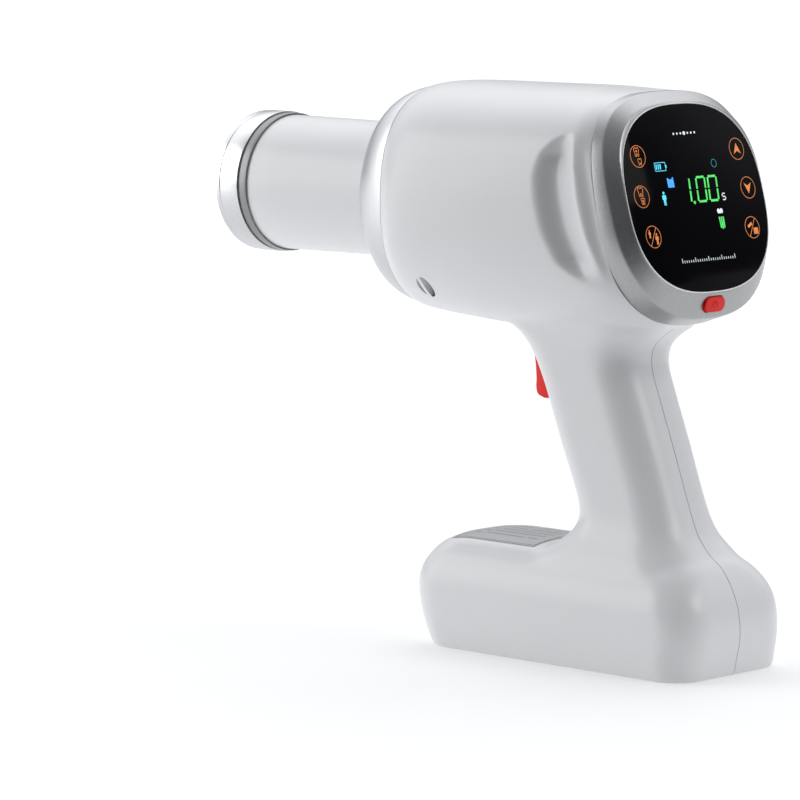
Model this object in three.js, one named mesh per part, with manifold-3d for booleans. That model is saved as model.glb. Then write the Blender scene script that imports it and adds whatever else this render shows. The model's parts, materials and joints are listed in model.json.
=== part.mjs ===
// Handheld intraoral x-ray unit: a pistol-shaped battery generator with an aiming cone at the
// front of its barrel head and a touch display at the back.
// Millimetres, +Z up. +X runs from the cone's tip to the display, Y runs across the unit,
// and the origin is on the bottom face of the base, at the middle of the whole length.
import * as THREE from 'three';
import { mergeVertices } from 'three/addons/utils/BufferGeometryUtils.js';
import Module from 'manifold-3d';

const wasm = await Module();
wasm.setup();

// ---------------------------------------------------------------- driving dimensions
const HALF_LENGTH = 148.85;      // cone tip to the middle, and the middle to the base's rear
const GAP = 0.3;                 // clearance between neighbouring pieces
const WALL = 2.6;                // moulded wall of the two casing halves
const SPLIT_GAP = 0.3;           // parting gap between the casing halves

const BEAM_Z = 205;              // height of the cone's axis
const CONE_R = 32.2;             // outer radius of the aiming cone's tube at its tip
const CONE_TAPER = 0.8;          // how much smaller it is where it leaves the nose
const CONE_WALL = 2.0;
const CAP_R = 33.6;              // outer radius of the metal band at the cone's tip
const CAP_LEN = 15.7;            // length of that band
const DISH_R = 23.5;             // rim radius of the concave dish in the end plate
const DISH_DEPTH = 5.5;

const NOSE_X = -28.95;           // seam between the nose ring and the casing
const NOSE_Z = 204.3;
const NOSE_HALF = [43.7, 51.0];  // half width and half height of that seam
const NOSE_POWER = 2.4;          // superellipse exponent of the head's outline

const SCREEN_TILT = THREE.MathUtils.degToRad(15.3);
const SCREEN_X = 121.88;         // centre of the display glass's outer face
const SCREEN_Z = 211.13;
const GLASS_HALF = [46.3, 42.2];
const GLASS_POWER = 2.6;
const GLASS_T = 1.8;

const SEAM_X = 109.45;
const SEAM_Z = 205.5;
const SEAM_HALF = [52.4, 51.9];
const SEAM_POWER = [3.1, 2.4];   // squarer above than below

const HANDLE_HALF_W = 22;
const BASE_HALF_W = 38;
const BASE_FLOOR = 3;

const PIVOT = [40.5, 147.5];     // trigger pivot, X and Z
const PIN_R = 1.5;
const TRIGGER_HALF_W = 8;

const CELL_R = 9.1;              // 18650 lithium cell
const CELL_LEN = 65;

const RING = 32;                 // points round an outer section of the casing
const INNER_RING = 20;           // points round a section of its inner wall
const ROUND = 28;                // points round a turned part

// Casing head, front to back: x, z, tilt in degrees, half width, half height
const HEAD_STATIONS = [
  [NOSE_X, NOSE_Z, 0, NOSE_HALF[0], NOSE_HALF[1]],
  [-25, 204.4, 0, 48, 52.2],
  [-16, 204.6, 0, 53.4, 53.2],
  [0, 204.2, 0, 55.6, 54],
  [34, 203.3, 0, 56.6, 55],
  [66, 203.4, 2.5, 56.6, 55],
  [92, 204, 7.5, 55.2, 54],
  [SEAM_X, SEAM_Z, 10.8, SEAM_HALF[0], SEAM_HALF[1]],
];

// Handle, top to bottom: z, front x, rear x, half width, corner radius
const HANDLE_STATIONS = [
  [170, 14, 98, 34, 24],
  [160, 17, 105, 33, 22],
  [152, 24.5, 108.6, 28.6, 20],
  [146, 31, 100.5, 25, 18],
  [140, 35.6, 96.6, 23.4, 17],
  [132, 39.8, 97, 22.3, 16],
  [122, 44.3, 100.6, HANDLE_HALF_W, 16],
  [97.4, 53.9, 110, HANDLE_HALF_W, 16],
  [76, 62.9, 117.8, HANDLE_HALF_W, 16],
  [66, 65.4, 121.6, 22.8, 16],
  [58.8, 62.2, 125.2, 24.8, 17],
  [53, 54, 130.4, 28, 19],
  [46, 40, 135, 31.5, 20],
];

// Base, bottom to top: z, front x, rear x, half width, corner radius
const BASE_STATIONS = [
  [0, -10, 145.2, 36.6, 15],
  [2, -11.6, 145.9, 37.6, 16],
  [7, -14.5, 146.8, BASE_HALF_W, 17],
  [17, -19, HALF_LENGTH, BASE_HALF_W, 18],
  [28, -20.6, 148, BASE_HALF_W, 18],
  [35.5, -19.3, 145.6, 36.6, 17.5],
  [42, -16, 142, 33.2, 17],
  [46.8, -12, 138.4, 29.4, 17],
  [50.2, -4.6, 134, 21.6, 14],
  [51.6, 6, 128, 9, 7],
];

// ---------------------------------------------------------------- solids
const V = (x, y, z) => new THREE.Vector3(x, y, z);

function toSolid(geometry) {
  const g = geometry.clone();
  g.deleteAttribute('normal');
  g.deleteAttribute('uv');
  const merged = mergeVertices(g, 1e-4);
  return new wasm.Manifold(new wasm.Mesh({
    numProp: 3,
    vertProperties: new Float32Array(merged.attributes.position.array),
    triVerts: new Uint32Array(merged.index.array),
  }));
}

function toGeometry(solid) {
  const mesh = solid.getMesh();
  const g = new THREE.BufferGeometry();
  g.setAttribute('position', new THREE.BufferAttribute(new Float32Array(mesh.vertProperties), 3));
  g.setIndex(new THREE.BufferAttribute(new Uint32Array(mesh.triVerts), 1));
  g.computeVertexNormals();
  return g;
}

const cut = (body, ...tools) => tools.reduce((a, t) => a.subtract(t), body);
const join = (...bodies) => bodies.reduce((a, b) => a.add(b));

// A skin through rings of equal count. An open stack is capped, a looped one closes on itself.
function loft(rings, looped = false) {
  const count = rings[0].length;
  const points = rings.flat();
  const index = [];
  const bands = looped ? rings.length : rings.length - 1;
  for (let i = 0; i < bands; i++) {
    const a = i * count;
    const b = ((i + 1) % rings.length) * count;
    for (let j = 0; j < count; j++) {
      const k = (j + 1) % count;
      index.push(a + j, a + k, b + k, a + j, b + k, b + j);
    }
  }
  if (!looped) {
    for (const [start, flip] of [[0, true], [(rings.length - 1) * count, false]]) {
      const centre = V(0, 0, 0);
      for (let j = 0; j < count; j++) centre.add(points[start + j]);
      points.push(centre.divideScalar(count));
      const c = points.length - 1;
      for (let j = 0; j < count; j++) {
        const k = (j + 1) % count;
        if (flip) index.push(c, start + k, start + j);
        else index.push(c, start + j, start + k);
      }
    }
  }
  let volume = 0;
  for (let t = 0; t < index.length; t += 3) {
    const [p, q, r] = [points[index[t]], points[index[t + 1]], points[index[t + 2]]];
    volume += p.dot(q.clone().cross(r));
  }
  if (volume < 0) {
    for (let t = 0; t < index.length; t += 3) {
      [index[t + 1], index[t + 2]] = [index[t + 2], index[t + 1]];
    }
  }
  const g = new THREE.BufferGeometry();
  const xyz = points.flatMap((p) => [p.x, p.y, p.z]);
  g.setAttribute('position', new THREE.Float32BufferAttribute(xyz, 3));
  g.setIndex(index);
  return g;
}

// One turn of a superellipse as [across, up] pairs. The powers above and below may differ.
function superellipse(halfW, up, down, power, count) {
  const [above, below] = [power].flat().length === 2 ? power : [power, power];
  const points = [];
  for (let i = 0; i < count; i++) {
    const t = (2 * Math.PI * i) / count;
    const [c, s] = [Math.cos(t), Math.sin(t)];
    const e = 2 / (s > 0 ? above : below);
    points.push([
      halfW * Math.sign(c) * Math.abs(c) ** e,
      (s > 0 ? up : down) * Math.sign(s) * Math.abs(s) ** e,
    ]);
  }
  return points;
}

// Section of the head, tilted back about Y
const headRing = (x, z, tilt, halfW, halfH, power, count = RING) => (
  superellipse(halfW, halfH, halfH, power, count).map(([y, v]) => (
    V(x - v * Math.sin(tilt), y, z + v * Math.cos(tilt)))));

// Rounded rectangle in a level plane
function levelRing(z, x0, x1, halfW, radius, count = RING) {
  const ring = [];
  const per = count / 4;
  const r = Math.min(radius, halfW - 0.5, (x1 - x0) / 2 - 0.5);
  const centres = [[x1 - r, halfW - r], [x0 + r, halfW - r], [x0 + r, -halfW + r], [x1 - r, -halfW + r]];
  centres.forEach(([cx, cy], q) => {
    for (let i = 0; i < per; i++) {
      const t = (q + i / (per - 1)) * Math.PI / 2;
      ring.push(V(cx + r * Math.cos(t), cy + r * Math.sin(t), z));
    }
  });
  return ring;
}

const boxAt = (x, y, z, dx, dy, dz) => new THREE.BoxGeometry(dx, dy, dz).translate(x, y, z);
const rodX = (x0, x1, y, z, r, n = ROUND) => new THREE.CylinderGeometry(r, r, x1 - x0, n)
  .rotateZ(-Math.PI / 2).translate((x0 + x1) / 2, y, z);
const rodY = (x, y0, y1, z, r, n = ROUND) => new THREE.CylinderGeometry(r, r, y1 - y0, n)
  .translate(x, (y0 + y1) / 2, z);
const rodZ = (x, y, z0, z1, r, n = ROUND) => new THREE.CylinderGeometry(r, r, z1 - z0, n)
  .rotateX(Math.PI / 2).translate(x, y, (z0 + z1) / 2);

// Turned about an axis along X: profile points are [x, radius]
function turnedX(profile, y, z, count = ROUND) {
  const points = profile.map(([x, r]) => new THREE.Vector2(r, x));
  const g = new THREE.LatheGeometry(points, count);
  g.rotateZ(-Math.PI / 2).translate(0, y, z);
  return outward(g);
}

// The same surface with its faces turned outwards
function outward(geometry) {
  geometry.deleteAttribute('normal');
  geometry.deleteAttribute('uv');
  const g = mergeVertices(geometry, 1e-4);
  const p = g.attributes.position;
  const index = Array.from(g.index.array);
  const kept = [];
  let volume = 0;
  for (let t = 0; t < index.length; t += 3) {
    const [a, b, c] = [index[t], index[t + 1], index[t + 2]];
    if (a === b || b === c || a === c) continue;
    kept.push(a, b, c);
    const [u, v, w] = [a, b, c].map((i) => new THREE.Vector3().fromBufferAttribute(p, i));
    volume += u.dot(v.cross(w));
  }
  if (volume < 0) {
    for (let t = 0; t < kept.length; t += 3) [kept[t + 1], kept[t + 2]] = [kept[t + 2], kept[t + 1]];
  }
  g.setIndex(kept);
  return g;
}

// A tube along a smooth path
function cord(path, radius, sides, steps) {
  const section = new THREE.Shape();
  section.absarc(0, 0, radius, 0, 2 * Math.PI);
  const curve = new THREE.CatmullRomCurve3(path.map((p) => V(...p)));
  const g = new THREE.ExtrudeGeometry(section, {
    steps, bevelEnabled: false, extrudePath: curve, curveSegments: sides / 2,
  });
  return outward(g);
}

// A profile in the XZ plane, extruded between two Y values
function plateXZ(outline, y0, y1, bevel = 0) {
  const shape = new THREE.Shape(outline.map(([x, z]) => new THREE.Vector2(x, z)));
  const g = new THREE.ExtrudeGeometry(shape, {
    depth: y1 - y0 - 2 * bevel, bevelEnabled: bevel > 0, bevelThickness: bevel, bevelSize: bevel,
    bevelOffset: -bevel, bevelSegments: 2,
  });
  g.rotateX(Math.PI / 2).translate(0, y1 - bevel, 0);
  return outward(g);
}

// ---------------------------------------------------------------- display frame
// A point of the display: u across, v up the glass, n out of its face.
function onScreen(u, v, n) {
  const [c, s] = [Math.cos(SCREEN_TILT), Math.sin(SCREEN_TILT)];
  return V(SCREEN_X + n * c - v * s, u, SCREEN_Z + n * s + v * c);
}

const screenRing = (halfW, up, down, power, depth, count = RING) => (
  superellipse(halfW, up, down, power, count).map(([u, v]) => (
    onScreen(u, v, typeof depth === 'function' ? depth(v) : depth))));

// Depth of the casing seam behind the glass plane, which grows towards the bottom
const seamDepth = (v) => -13.6 + 0.077 * v;

function placeOnScreen(geometry, u, v, n) {
  const at = onScreen(u, v, n);
  return geometry.rotateY(Math.PI / 2 - SCREEN_TILT).translate(at.x, at.y, at.z);
}

// ---------------------------------------------------------------- casing
function casingBody(inset) {
  const count = inset > 0 ? INNER_RING : RING;
  const head = HEAD_STATIONS.map(([x, z, tilt, w, h], i) => {
    const out = i === 0 ? -1 : i === HEAD_STATIONS.length - 1 ? 1 : 0;
    const shift = inset > 0 ? 6 * out : 0;
    const along = i / (HEAD_STATIONS.length - 1);
    const power = [0, 1].map((k) => THREE.MathUtils.lerp(NOSE_POWER, SEAM_POWER[k], along));
    return headRing(x + shift, z, THREE.MathUtils.degToRad(tilt), w - inset, h - inset, power, count);
  });
  const handle = HANDLE_STATIONS.map(([z, x0, x1, w, r]) => (
    levelRing(z, x0 + inset, x1 - inset, w - inset, r - inset * 0.6, count)));
  const top = BASE_STATIONS[BASE_STATIONS.length - 1][0];
  const base = BASE_STATIONS.map(([z, x0, x1, w, r]) => {
    const level = inset > 0 ? BASE_FLOOR + (z / top) * (top - inset - BASE_FLOOR) : z;
    return levelRing(level, x0 + inset, x1 - inset, w - inset, r - inset * 0.6, count);
  });
  return join(toSolid(loft(head)), toSolid(loft(handle)), toSolid(loft(base)));
}

// Long vertical finger scoop in front of the bezel, its rear wall steeper than its front
function scoop(side, grow) {
  const g = new THREE.SphereGeometry(1, 16, 10);
  g.scale(13 + grow, 8 + grow, 37 + grow);
  g.rotateZ(side * 0.42).rotateY(-0.17).translate(90.5, side * 58.5, 208.5);
  return toSolid(outward(g));
}

// Blind round pocket for a wrist cord low on each side of the head, with a post across it
const EYELET = [1.4, 164.8];
const EYELET_R = 5;
const EYELET_FLOOR = 27;
const eyeletRod = (side, radius, floor) => {
  const [near, far] = [side * floor, side * 60];
  return toSolid(rodY(EYELET[0], Math.min(near, far), Math.max(near, far), EYELET[1], radius, 16));
};
const eyeletPost = (side) => toSolid(boxAt(EYELET[0] - 2.3, side * 45, EYELET[1], 2.2, 22, 12));

// Opening in the front of the handle that the trigger works in
const triggerSlot = () => toSolid(boxAt(36, 0, 131.6, 40, 2 * TRIGGER_HALF_W + 1.4, 34.6));
const SOCKET_AT = [-20.6, 0, 24];

// Where the casing screws sit: x, z
const SCREWS = [[-11, 249], [82, 249], [4, 158.5], [90, 157.5], [72, 104], [-4, 38], [50, 40], [138, 14]];
const SCREW_HEAD_Y = 14;         // how far out the screw heads sit on the right half
const SCREW_R = 1.5;

function casing() {
  const bezelRoom = toSolid(loft([(v) => seamDepth(v) - GAP / 2, 30].map((depth) => (
    screenRing(53.2, 51.2, 55, SEAM_POWER, depth)))));
  const outer = cut(casingBody(0), bezelRoom, scoop(-1, 0), scoop(1, 0));
  const inner = cut(casingBody(WALL), scoop(-1, WALL), scoop(1, WALL));
  const cups = [-1, 1].map((side) => eyeletRod(side, EYELET_R + 1.6, EYELET_FLOOR - 1.6).intersect(outer));
  let shell = join(cut(outer, inner), ...cups);
  const posts = SCREWS.map(([x, z]) => toSolid(rodY(x, -60, 60, z, 4.2, 10)).intersect(outer));
  shell = join(shell, ...posts);
  const pinBoss = [-1, 1].map((side) => toSolid(rodY(PIVOT[0], Math.min(side * 9.2, side * 40),
    Math.max(side * 9.2, side * 40), PIVOT[1], 3.6, 10)).intersect(outer));
  shell = cut(join(shell, ...pinBoss), toSolid(rodY(PIVOT[0], -12.3, 12.3, PIVOT[1], PIN_R + GAP, 10)));
  for (const side of [-1, 1]) {
    shell = cut(shell, eyeletRod(side, EYELET_R, EYELET_FLOOR).subtract(eyeletPost(side)));
  }
  const socketHole = toSolid(boxAt(SOCKET_AT[0] + 4, 0, SOCKET_AT[2], 14, 9.8, 11.8));
  return cut(shell, triggerSlot(), socketHole);
}

const whole = casing();
const halfSpace = (side) => toSolid(boxAt(0, side * (100 + SPLIT_GAP / 2), 130, 400, 200, 300));
let leftHalf = whole.intersect(halfSpace(-1));
let rightHalf = whole.intersect(halfSpace(1));
for (const [x, z] of SCREWS) {
  const bore = toSolid(rodY(x, -8.3, 20, z, SCREW_R + GAP, 10));
  const well = toSolid(rodY(x, SCREW_HEAD_Y - 2.4, 70, z, 3.1, 12));
  leftHalf = cut(leftHalf, bore);
  rightHalf = cut(rightHalf, bore, well);
}

// ---------------------------------------------------------------- outside pieces
function noseRing() {
  const stations = [[NOSE_X - GAP, 1, 0], [-34, 0.985, 0], [-40, 0.945, 0.08], [-45, 0.88, 0.3],
    [-49, 0.78, 0.7], [-51, 0.68, 1]];
  const outer = stations.map(([x, s, round]) => {
    const w = THREE.MathUtils.lerp(NOSE_HALF[0] * s, 49 * s, round);
    const h = THREE.MathUtils.lerp(NOSE_HALF[1] * s, 49 * s, round);
    const z = THREE.MathUtils.lerp(NOSE_Z, BEAM_Z, round);
    return headRing(x, z, 0, w, h, THREE.MathUtils.lerp(NOSE_POWER, 2, round));
  });
  const bore = CONE_R - CONE_TAPER + GAP;
  const inner = [[-51, bore], [-46, bore], [-40, 37], [NOSE_X - GAP, 40.5]].map(([x, r]) => (
    headRing(x, BEAM_Z, 0, r, r, 2)));
  return loft([...outer, ...inner], true);
}

function coneTube() {
  const tip = -HALF_LENGTH + 5;
  const [shoulder, rear] = [-60, -22];
  const [wide, slim] = [CONE_R, CONE_R - CONE_TAPER];
  return turnedX([[tip, wide - CONE_WALL], [tip, wide], [shoulder, slim], [rear, slim],
    [rear, slim - CONE_WALL], [shoulder, slim - CONE_WALL], [tip, wide - CONE_WALL]], 0, BEAM_Z);
}

function spacerRing() {
  const [r, t] = [CONE_R + 0.8, CONE_R + 0.25];
  const x = -HALF_LENGTH + CAP_LEN + 0.8;
  return turnedX([[x, t], [x, r], [x + 4.5, r], [x + 4.5, t], [x, t]], 0, BEAM_Z);
}

function capBand() {
  const [r, t] = [CAP_R, CONE_R + GAP];
  const [a, b] = [-HALF_LENGTH + 1.4, -HALF_LENGTH + CAP_LEN];
  return turnedX([[a, t], [a, r - 0.5], [a + 0.5, r], [b - 0.5, r], [b, r - 0.5], [b, t], [a, t]],
    0, BEAM_Z);
}

function capFace() {
  const x = -HALF_LENGTH;
  const profile = [];
  const steps = 6;
  for (let i = 0; i <= steps; i++) {
    const r = (DISH_R * i) / steps;
    profile.push([x + DISH_DEPTH * (1 - (r / DISH_R) ** 2), r]);
  }
  const rim = CONE_R - 0.2;
  profile.push([x, rim - 0.8], [x + 0.8, rim], [x + 4.4, rim], [x + 4.4, CONE_R - CONE_WALL - GAP]);
  profile.push([x + 8, CONE_R - CONE_WALL - GAP], [x + 8, 0]);
  return turnedX(profile, 0, BEAM_Z);
}

function rearBezel() {
  const p = [2.9, 2.5];
  const g = loft([
    screenRing(GLASS_HALF[0] + GAP, GLASS_HALF[1] + GAP, GLASS_HALF[1] + GAP, GLASS_POWER, 0.2),
    screenRing(48.2, 45.2, 47, p, -1.6),
    screenRing(50.4, 48.6, 52.4, p, -5.4),
    screenRing(51.2, 49.6, 53.2, p, -6.6),
    screenRing(52.4, 50.4, 54, SEAM_POWER, (v) => seamDepth(v) + GAP / 2),
    screenRing(49.8, 47.8, 51.4, SEAM_POWER, (v) => seamDepth(v) + GAP / 2),
    screenRing(48, 46, 49.5, p, -7.4),
    screenRing(43.5, 39.5, 39.5, GLASS_POWER, -4.6),
    screenRing(43.5, 39.5, 39.5, GLASS_POWER, -GLASS_T - GAP),
    screenRing(GLASS_HALF[0] + GAP, GLASS_HALF[1] + GAP, GLASS_HALF[1] + GAP, GLASS_POWER,
      -GLASS_T - GAP),
  ], true);
  const well = placeOnButton(stadium(14.4, 7.6, 18), 0);
  return toGeometry(cut(toSolid(g), toSolid(outward(well))));
}

const displayGlass = () => loft([
  screenRing(GLASS_HALF[0] - 0.4, GLASS_HALF[1] - 0.4, GLASS_HALF[1] - 0.4, GLASS_POWER, 0),
  screenRing(GLASS_HALF[0], GLASS_HALF[1], GLASS_HALF[1], GLASS_POWER, -0.4),
  screenRing(GLASS_HALF[0], GLASS_HALF[1], GLASS_HALF[1], GLASS_POWER, -GLASS_T),
]);

// Stadium outline, its long side along Y, extruded along Z through the origin
function stadium(length, width, depth, bevel = 0) {
  const [half, r] = [(length - width) / 2, width / 2];
  const shape = new THREE.Shape();
  shape.absarc(0, half, r, 0, Math.PI);
  shape.absarc(0, -half, r, Math.PI, 2 * Math.PI);
  const g = new THREE.ExtrudeGeometry(shape, {
    depth: depth - 2 * bevel, bevelEnabled: bevel > 0, bevelThickness: bevel, bevelSize: bevel,
    bevelOffset: -bevel, bevelSegments: 2, curveSegments: 6,
  });
  return g.translate(0, 0, -depth / 2 + bevel);
}

const BUTTON_V = -47.6;          // power button on the bezel's lower band
const BUTTON_N = -2.6;
const BUTTON_LEAN = THREE.MathUtils.degToRad(-22);
const BUTTON_TALL = 5;

// Places a piece on the button's own axis, a distance out from the bezel's surface
function placeOnButton(geometry, distance) {
  const tilt = SCREEN_TILT + BUTTON_LEAN;
  const at = onScreen(0, BUTTON_V, BUTTON_N);
  return geometry.rotateY(Math.PI / 2 - tilt)
    .translate(at.x + distance * Math.cos(tilt), at.y, at.z + distance * Math.sin(tilt));
}

const powerButton = () => placeOnButton(
  outward(stadium(13.6, 6.8, BUTTON_TALL, 0.6)), 1.2 - BUTTON_TALL / 2);

// ---------------------------------------------------------------- trigger group
function triggerOutline() {
  const front = new THREE.CatmullRomCurve3([[31.6, 144.4], [32.6, 138], [33.9, 131], [34.4, 124],
    [34.3, 120.4], [35.6, 117], [39.4, 115.6]].map(([x, z]) => V(x, 0, z)));
  const outline = front.getPoints(14).map((p) => [p.x, p.z]);
  return [...outline, [47, 115.9], [51.5, 119], [49, 131], [45.6, 146.5], [44, 150], [40.5, 151],
    [37, 149.6], [34.5, 146.6]];
}

function trigger() {
  const body = toSolid(plateXZ(triggerOutline(), -TRIGGER_HALF_W, TRIGGER_HALF_W, 1.2));
  const hollow = toSolid(plateXZ([[37.5, 142.5], [38.6, 131], [38.6, 120.5], [60, 120.5],
    [60, 142.5]], -TRIGGER_HALF_W + 2.2, TRIGGER_HALF_W - 2.2));
  const springRoom = toSolid(boxAt(PIVOT[0] + 1, 0, PIVOT[1] + 1.5, 11, 7.4, 14));
  const bore = toSolid(rodY(PIVOT[0], -10, 10, PIVOT[1], PIN_R + GAP, 20));
  const rib = toSolid(boxAt(45.8, 0, 126, 7, 5, 3.2));
  const web = toSolid(boxAt(41, 0, 126, 6, 2 * TRIGGER_HALF_W - 4, 3.2));
  return toGeometry(join(cut(body, hollow, springRoom, bore), rib, web));
}

function triggerSpring() {
  const turns = 3;
  const [radius, wire] = [2.6, 0.4];
  const path = [[PIVOT[0] - 2.6, 2.3, PIVOT[1] - 4.6]];
  const steps = turns * 8;
  for (let i = 0; i <= steps; i++) {
    const t = (2 * Math.PI * turns * i) / steps;
    const y = 2.1 - (4.2 * i) / steps;
    path.push([PIVOT[0] - radius * Math.cos(t), y, PIVOT[1] + radius * Math.sin(t)]);
  }
  path.push([PIVOT[0] - 2.6, -2.3, PIVOT[1] + 6]);
  return cord(path, wire, 6, 48);
}

const SWITCH_AT = [62, 126];
const microSwitch = () => toGeometry(cut(
  toSolid(boxAt(SWITCH_AT[0], 0, SWITCH_AT[1] - 2, 12, 6.4, 18)),
  toSolid(rodX(SWITCH_AT[0] - 7, SWITCH_AT[0] - 1.5, 0, SWITCH_AT[1], 1.7, 12)),
));
const switchPlunger = () => rodX(49.8, SWITCH_AT[0] - 4.8, 0, SWITCH_AT[1], 1.3, 12);

// ---------------------------------------------------------------- screws, socket, label
function caseScrew(x, z) {
  const head = toSolid(rodY(x, SCREW_HEAD_Y - 2.1, SCREW_HEAD_Y, z, 2.7, 12));
  const shank = toSolid(rodY(x, -7.6, SCREW_HEAD_Y - 2, z, SCREW_R, 8));
  const slot = toSolid(boxAt(x, SCREW_HEAD_Y, z, 3.4, 1.4, 0.8));
  return toGeometry(cut(join(head, shank), slot));
}

function chargingSocket() {
  const body = toSolid(boxAt(SOCKET_AT[0] + 6, 0, SOCKET_AT[2], 11, 9.2, 11.2));
  const bore = toSolid(rodX(SOCKET_AT[0] - 2, SOCKET_AT[0] + 9, 0, SOCKET_AT[2], 3.3, 16));
  const pin = toSolid(rodX(SOCKET_AT[0] + 2, SOCKET_AT[0] + 10, 0, SOCKET_AT[2], 1, 8));
  return toGeometry(join(cut(body, bore), pin));
}

// A thin plate lying on the crowned top of the base
function ratingLabel() {
  const base = toSolid(loft(BASE_STATIONS.map(([z, x0, x1, w, r]) => levelRing(z, x0, x1, w, r))));
  const [under, over] = [GAP, GAP + 0.25];
  const skin = base.translate([0, 0, over]).subtract(base.translate([0, 0, under]));
  return toGeometry(skin.intersect(toSolid(boxAt(22, 0, 50, 50, 46, 16))));
}

// ---------------------------------------------------------------- x-ray source
const TANK = { x0: -16, x1: 60, halfW: 34, z0: 174, z1: 240, wall: 2.5 };

function tankBody() {
  const { x0, x1, halfW, z0, z1, wall } = TANK;
  const [cx, cz] = [(x0 + x1) / 2, (z0 + z1) / 2];
  const outer = toSolid(boxAt(cx, 0, cz, x1 - x0, 2 * halfW, z1 - z0));
  const inner = toSolid(boxAt(cx + wall, 0, cz, x1 - x0, 2 * (halfW - wall), z1 - z0 - 2 * wall));
  const port = toSolid(rodX(x0 - 1, x0 + wall + 1, 0, BEAM_Z, 14, 24));
  return toGeometry(cut(outer, inner, port));
}

const tankLid = () => boxAt(TANK.x1 + 1.6, 0, (TANK.z0 + TANK.z1) / 2, 2.6, 2 * TANK.halfW,
  TANK.z1 - TANK.z0);

const TUBE_X = 14;               // the x-ray tube lies across the unit, its window facing the cone
function leadLiner() {
  const sleeve = toSolid(rodY(TUBE_X, -30, 30, BEAM_Z, 19.5, 24));
  const bore = toSolid(rodY(TUBE_X, -31, 31, BEAM_Z, 17.5, 24));
  const port = toSolid(rodX(TUBE_X - 30, TUBE_X, 0, BEAM_Z, 8, 20));
  return toGeometry(cut(sleeve, bore, port));
}

function tubeGlass() {
  const profile = [[-28, 5], [-28, 7], [-20, 9], [-14, 14], [12, 14], [20, 9], [28, 7], [28, 5],
    [19, 7.4], [11, 12.4], [-13, 12.4], [-19, 7.4], [-28, 5]];
  return turnedX(profile, 0, 0, 16).rotateZ(Math.PI / 2).translate(TUBE_X, 0, BEAM_Z);
}

function anode() {
  const stem = toSolid(rodY(TUBE_X, 2, 31, BEAM_Z, 4.4, 16));
  const target = toSolid(boxAt(-6, 0, 0, 12, 12, 20).rotateZ(-0.35).translate(TUBE_X - 1, 2, BEAM_Z));
  return toGeometry(cut(stem, target));
}

const cathode = () => toGeometry(join(
  toSolid(rodY(TUBE_X, -31, -12, BEAM_Z, 4.2, 16)),
  toSolid(rodY(TUBE_X, -13, -9, BEAM_Z, 6.5, 16)),
));

function collimator() {
  const disc = toSolid(rodX(-23.6, -20.4, 0, BEAM_Z, 24, 32));
  const hole = toSolid(rodX(-25, -19, 0, BEAM_Z, 9, 24));
  return toGeometry(cut(disc, hole));
}

const beamFilter = () => rodX(-20.1, -18.4, 0, BEAM_Z, 16, 24);

function coneLiner() {
  const r = CONE_R - CONE_WALL - CONE_TAPER - GAP;
  const t = r - 1;
  return turnedX([[-139.5, t], [-139.5, r], [-25, r], [-25, t], [-139.5, t]], 0, BEAM_Z, ROUND);
}

function transformerCore() {
  const outer = toSolid(boxAt(47.6, -14, 217, 15, 30, 36));
  const windows = [-1, 1].map((s) => toSolid(boxAt(47.6, -14 + s * 7.2, 217, 30, 7.6, 24)));
  return toGeometry(cut(outer, ...windows));
}

function transformerCoil() {
  const outer = toSolid(boxAt(47.6, -14, 217, 23, 20.4, 22));
  const room = toSolid(boxAt(47.6, -14, 217, 15.6, 7.4, 30));
  return toGeometry(cut(outer, room));
}

const multiplier = () => boxAt(47.6, 18, 216, 20, 22, 40);

// ---------------------------------------------------------------- electronics
const mainBoard = () => boxAt(76, 0, 206, 1.6, 78, 74);
const processor = () => boxAt(74.1, -10, 212, 1.6, 14, 14);
const buzzer = () => rodX(69, 75, 22, 190, 6, 20);
const displayBoard = () => placeOnScreen(new THREE.BoxGeometry(66, 72, 1.6), 0, 0, -11);
const displayModule = () => placeOnScreen(new THREE.BoxGeometry(46, 62, 5.2), 0, 0, -7.2);
const switchStem = () => placeOnButton(
  new THREE.CylinderGeometry(1.6, 1.6, 2.4, 12).rotateX(Math.PI / 2), 1.2 - BUTTON_TALL - GAP - 1.2);
const powerSwitch = () => placeOnButton(
  new THREE.BoxGeometry(6, 6, 3.4), 1.2 - BUTTON_TALL - GAP - 2.4 - 1 - 1.7);

const CELL_Z = 6.2 + CELL_R;
function batteryCell(i) {
  const row = i % 3;
  const x = i < 3 ? -3.5 : 65;
  const y = (row - 1) * (2 * CELL_R + 0.6);
  return rodX(x, x + CELL_LEN, y, CELL_Z, CELL_R, 20);
}

function batteryTray() {
  const floor = toSolid(boxAt(63.2, 0, 4.7, 137.2, 50, 1.8));
  const walls = [-4.6, 63.25, 131].map((x) => toSolid(boxAt(x, 0, 10, 1.6, 50, 12)));
  return toGeometry(join(floor, ...walls));
}

const chargeBoard = () => boxAt(56, 0, 27.6, 96, 40, 1.6);

const batteryLead = () => cord([[98, 8, 30.5], [97, 8, 44], [95, 7, 62], [88, 6, 90], [80, 6, 120],
  [82, 6, 146], [79.5, 6, 160], [79.5, 6, 166]], 1.4, 6, 22);
const triggerLead = () => cord([[69.5, 0, 124], [72, 0, 128], [73, -1, 140], [73, -2, 154],
  [72.6, -3, 164], [72.6, -3, 172]], 0.9, 6, 14);

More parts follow.
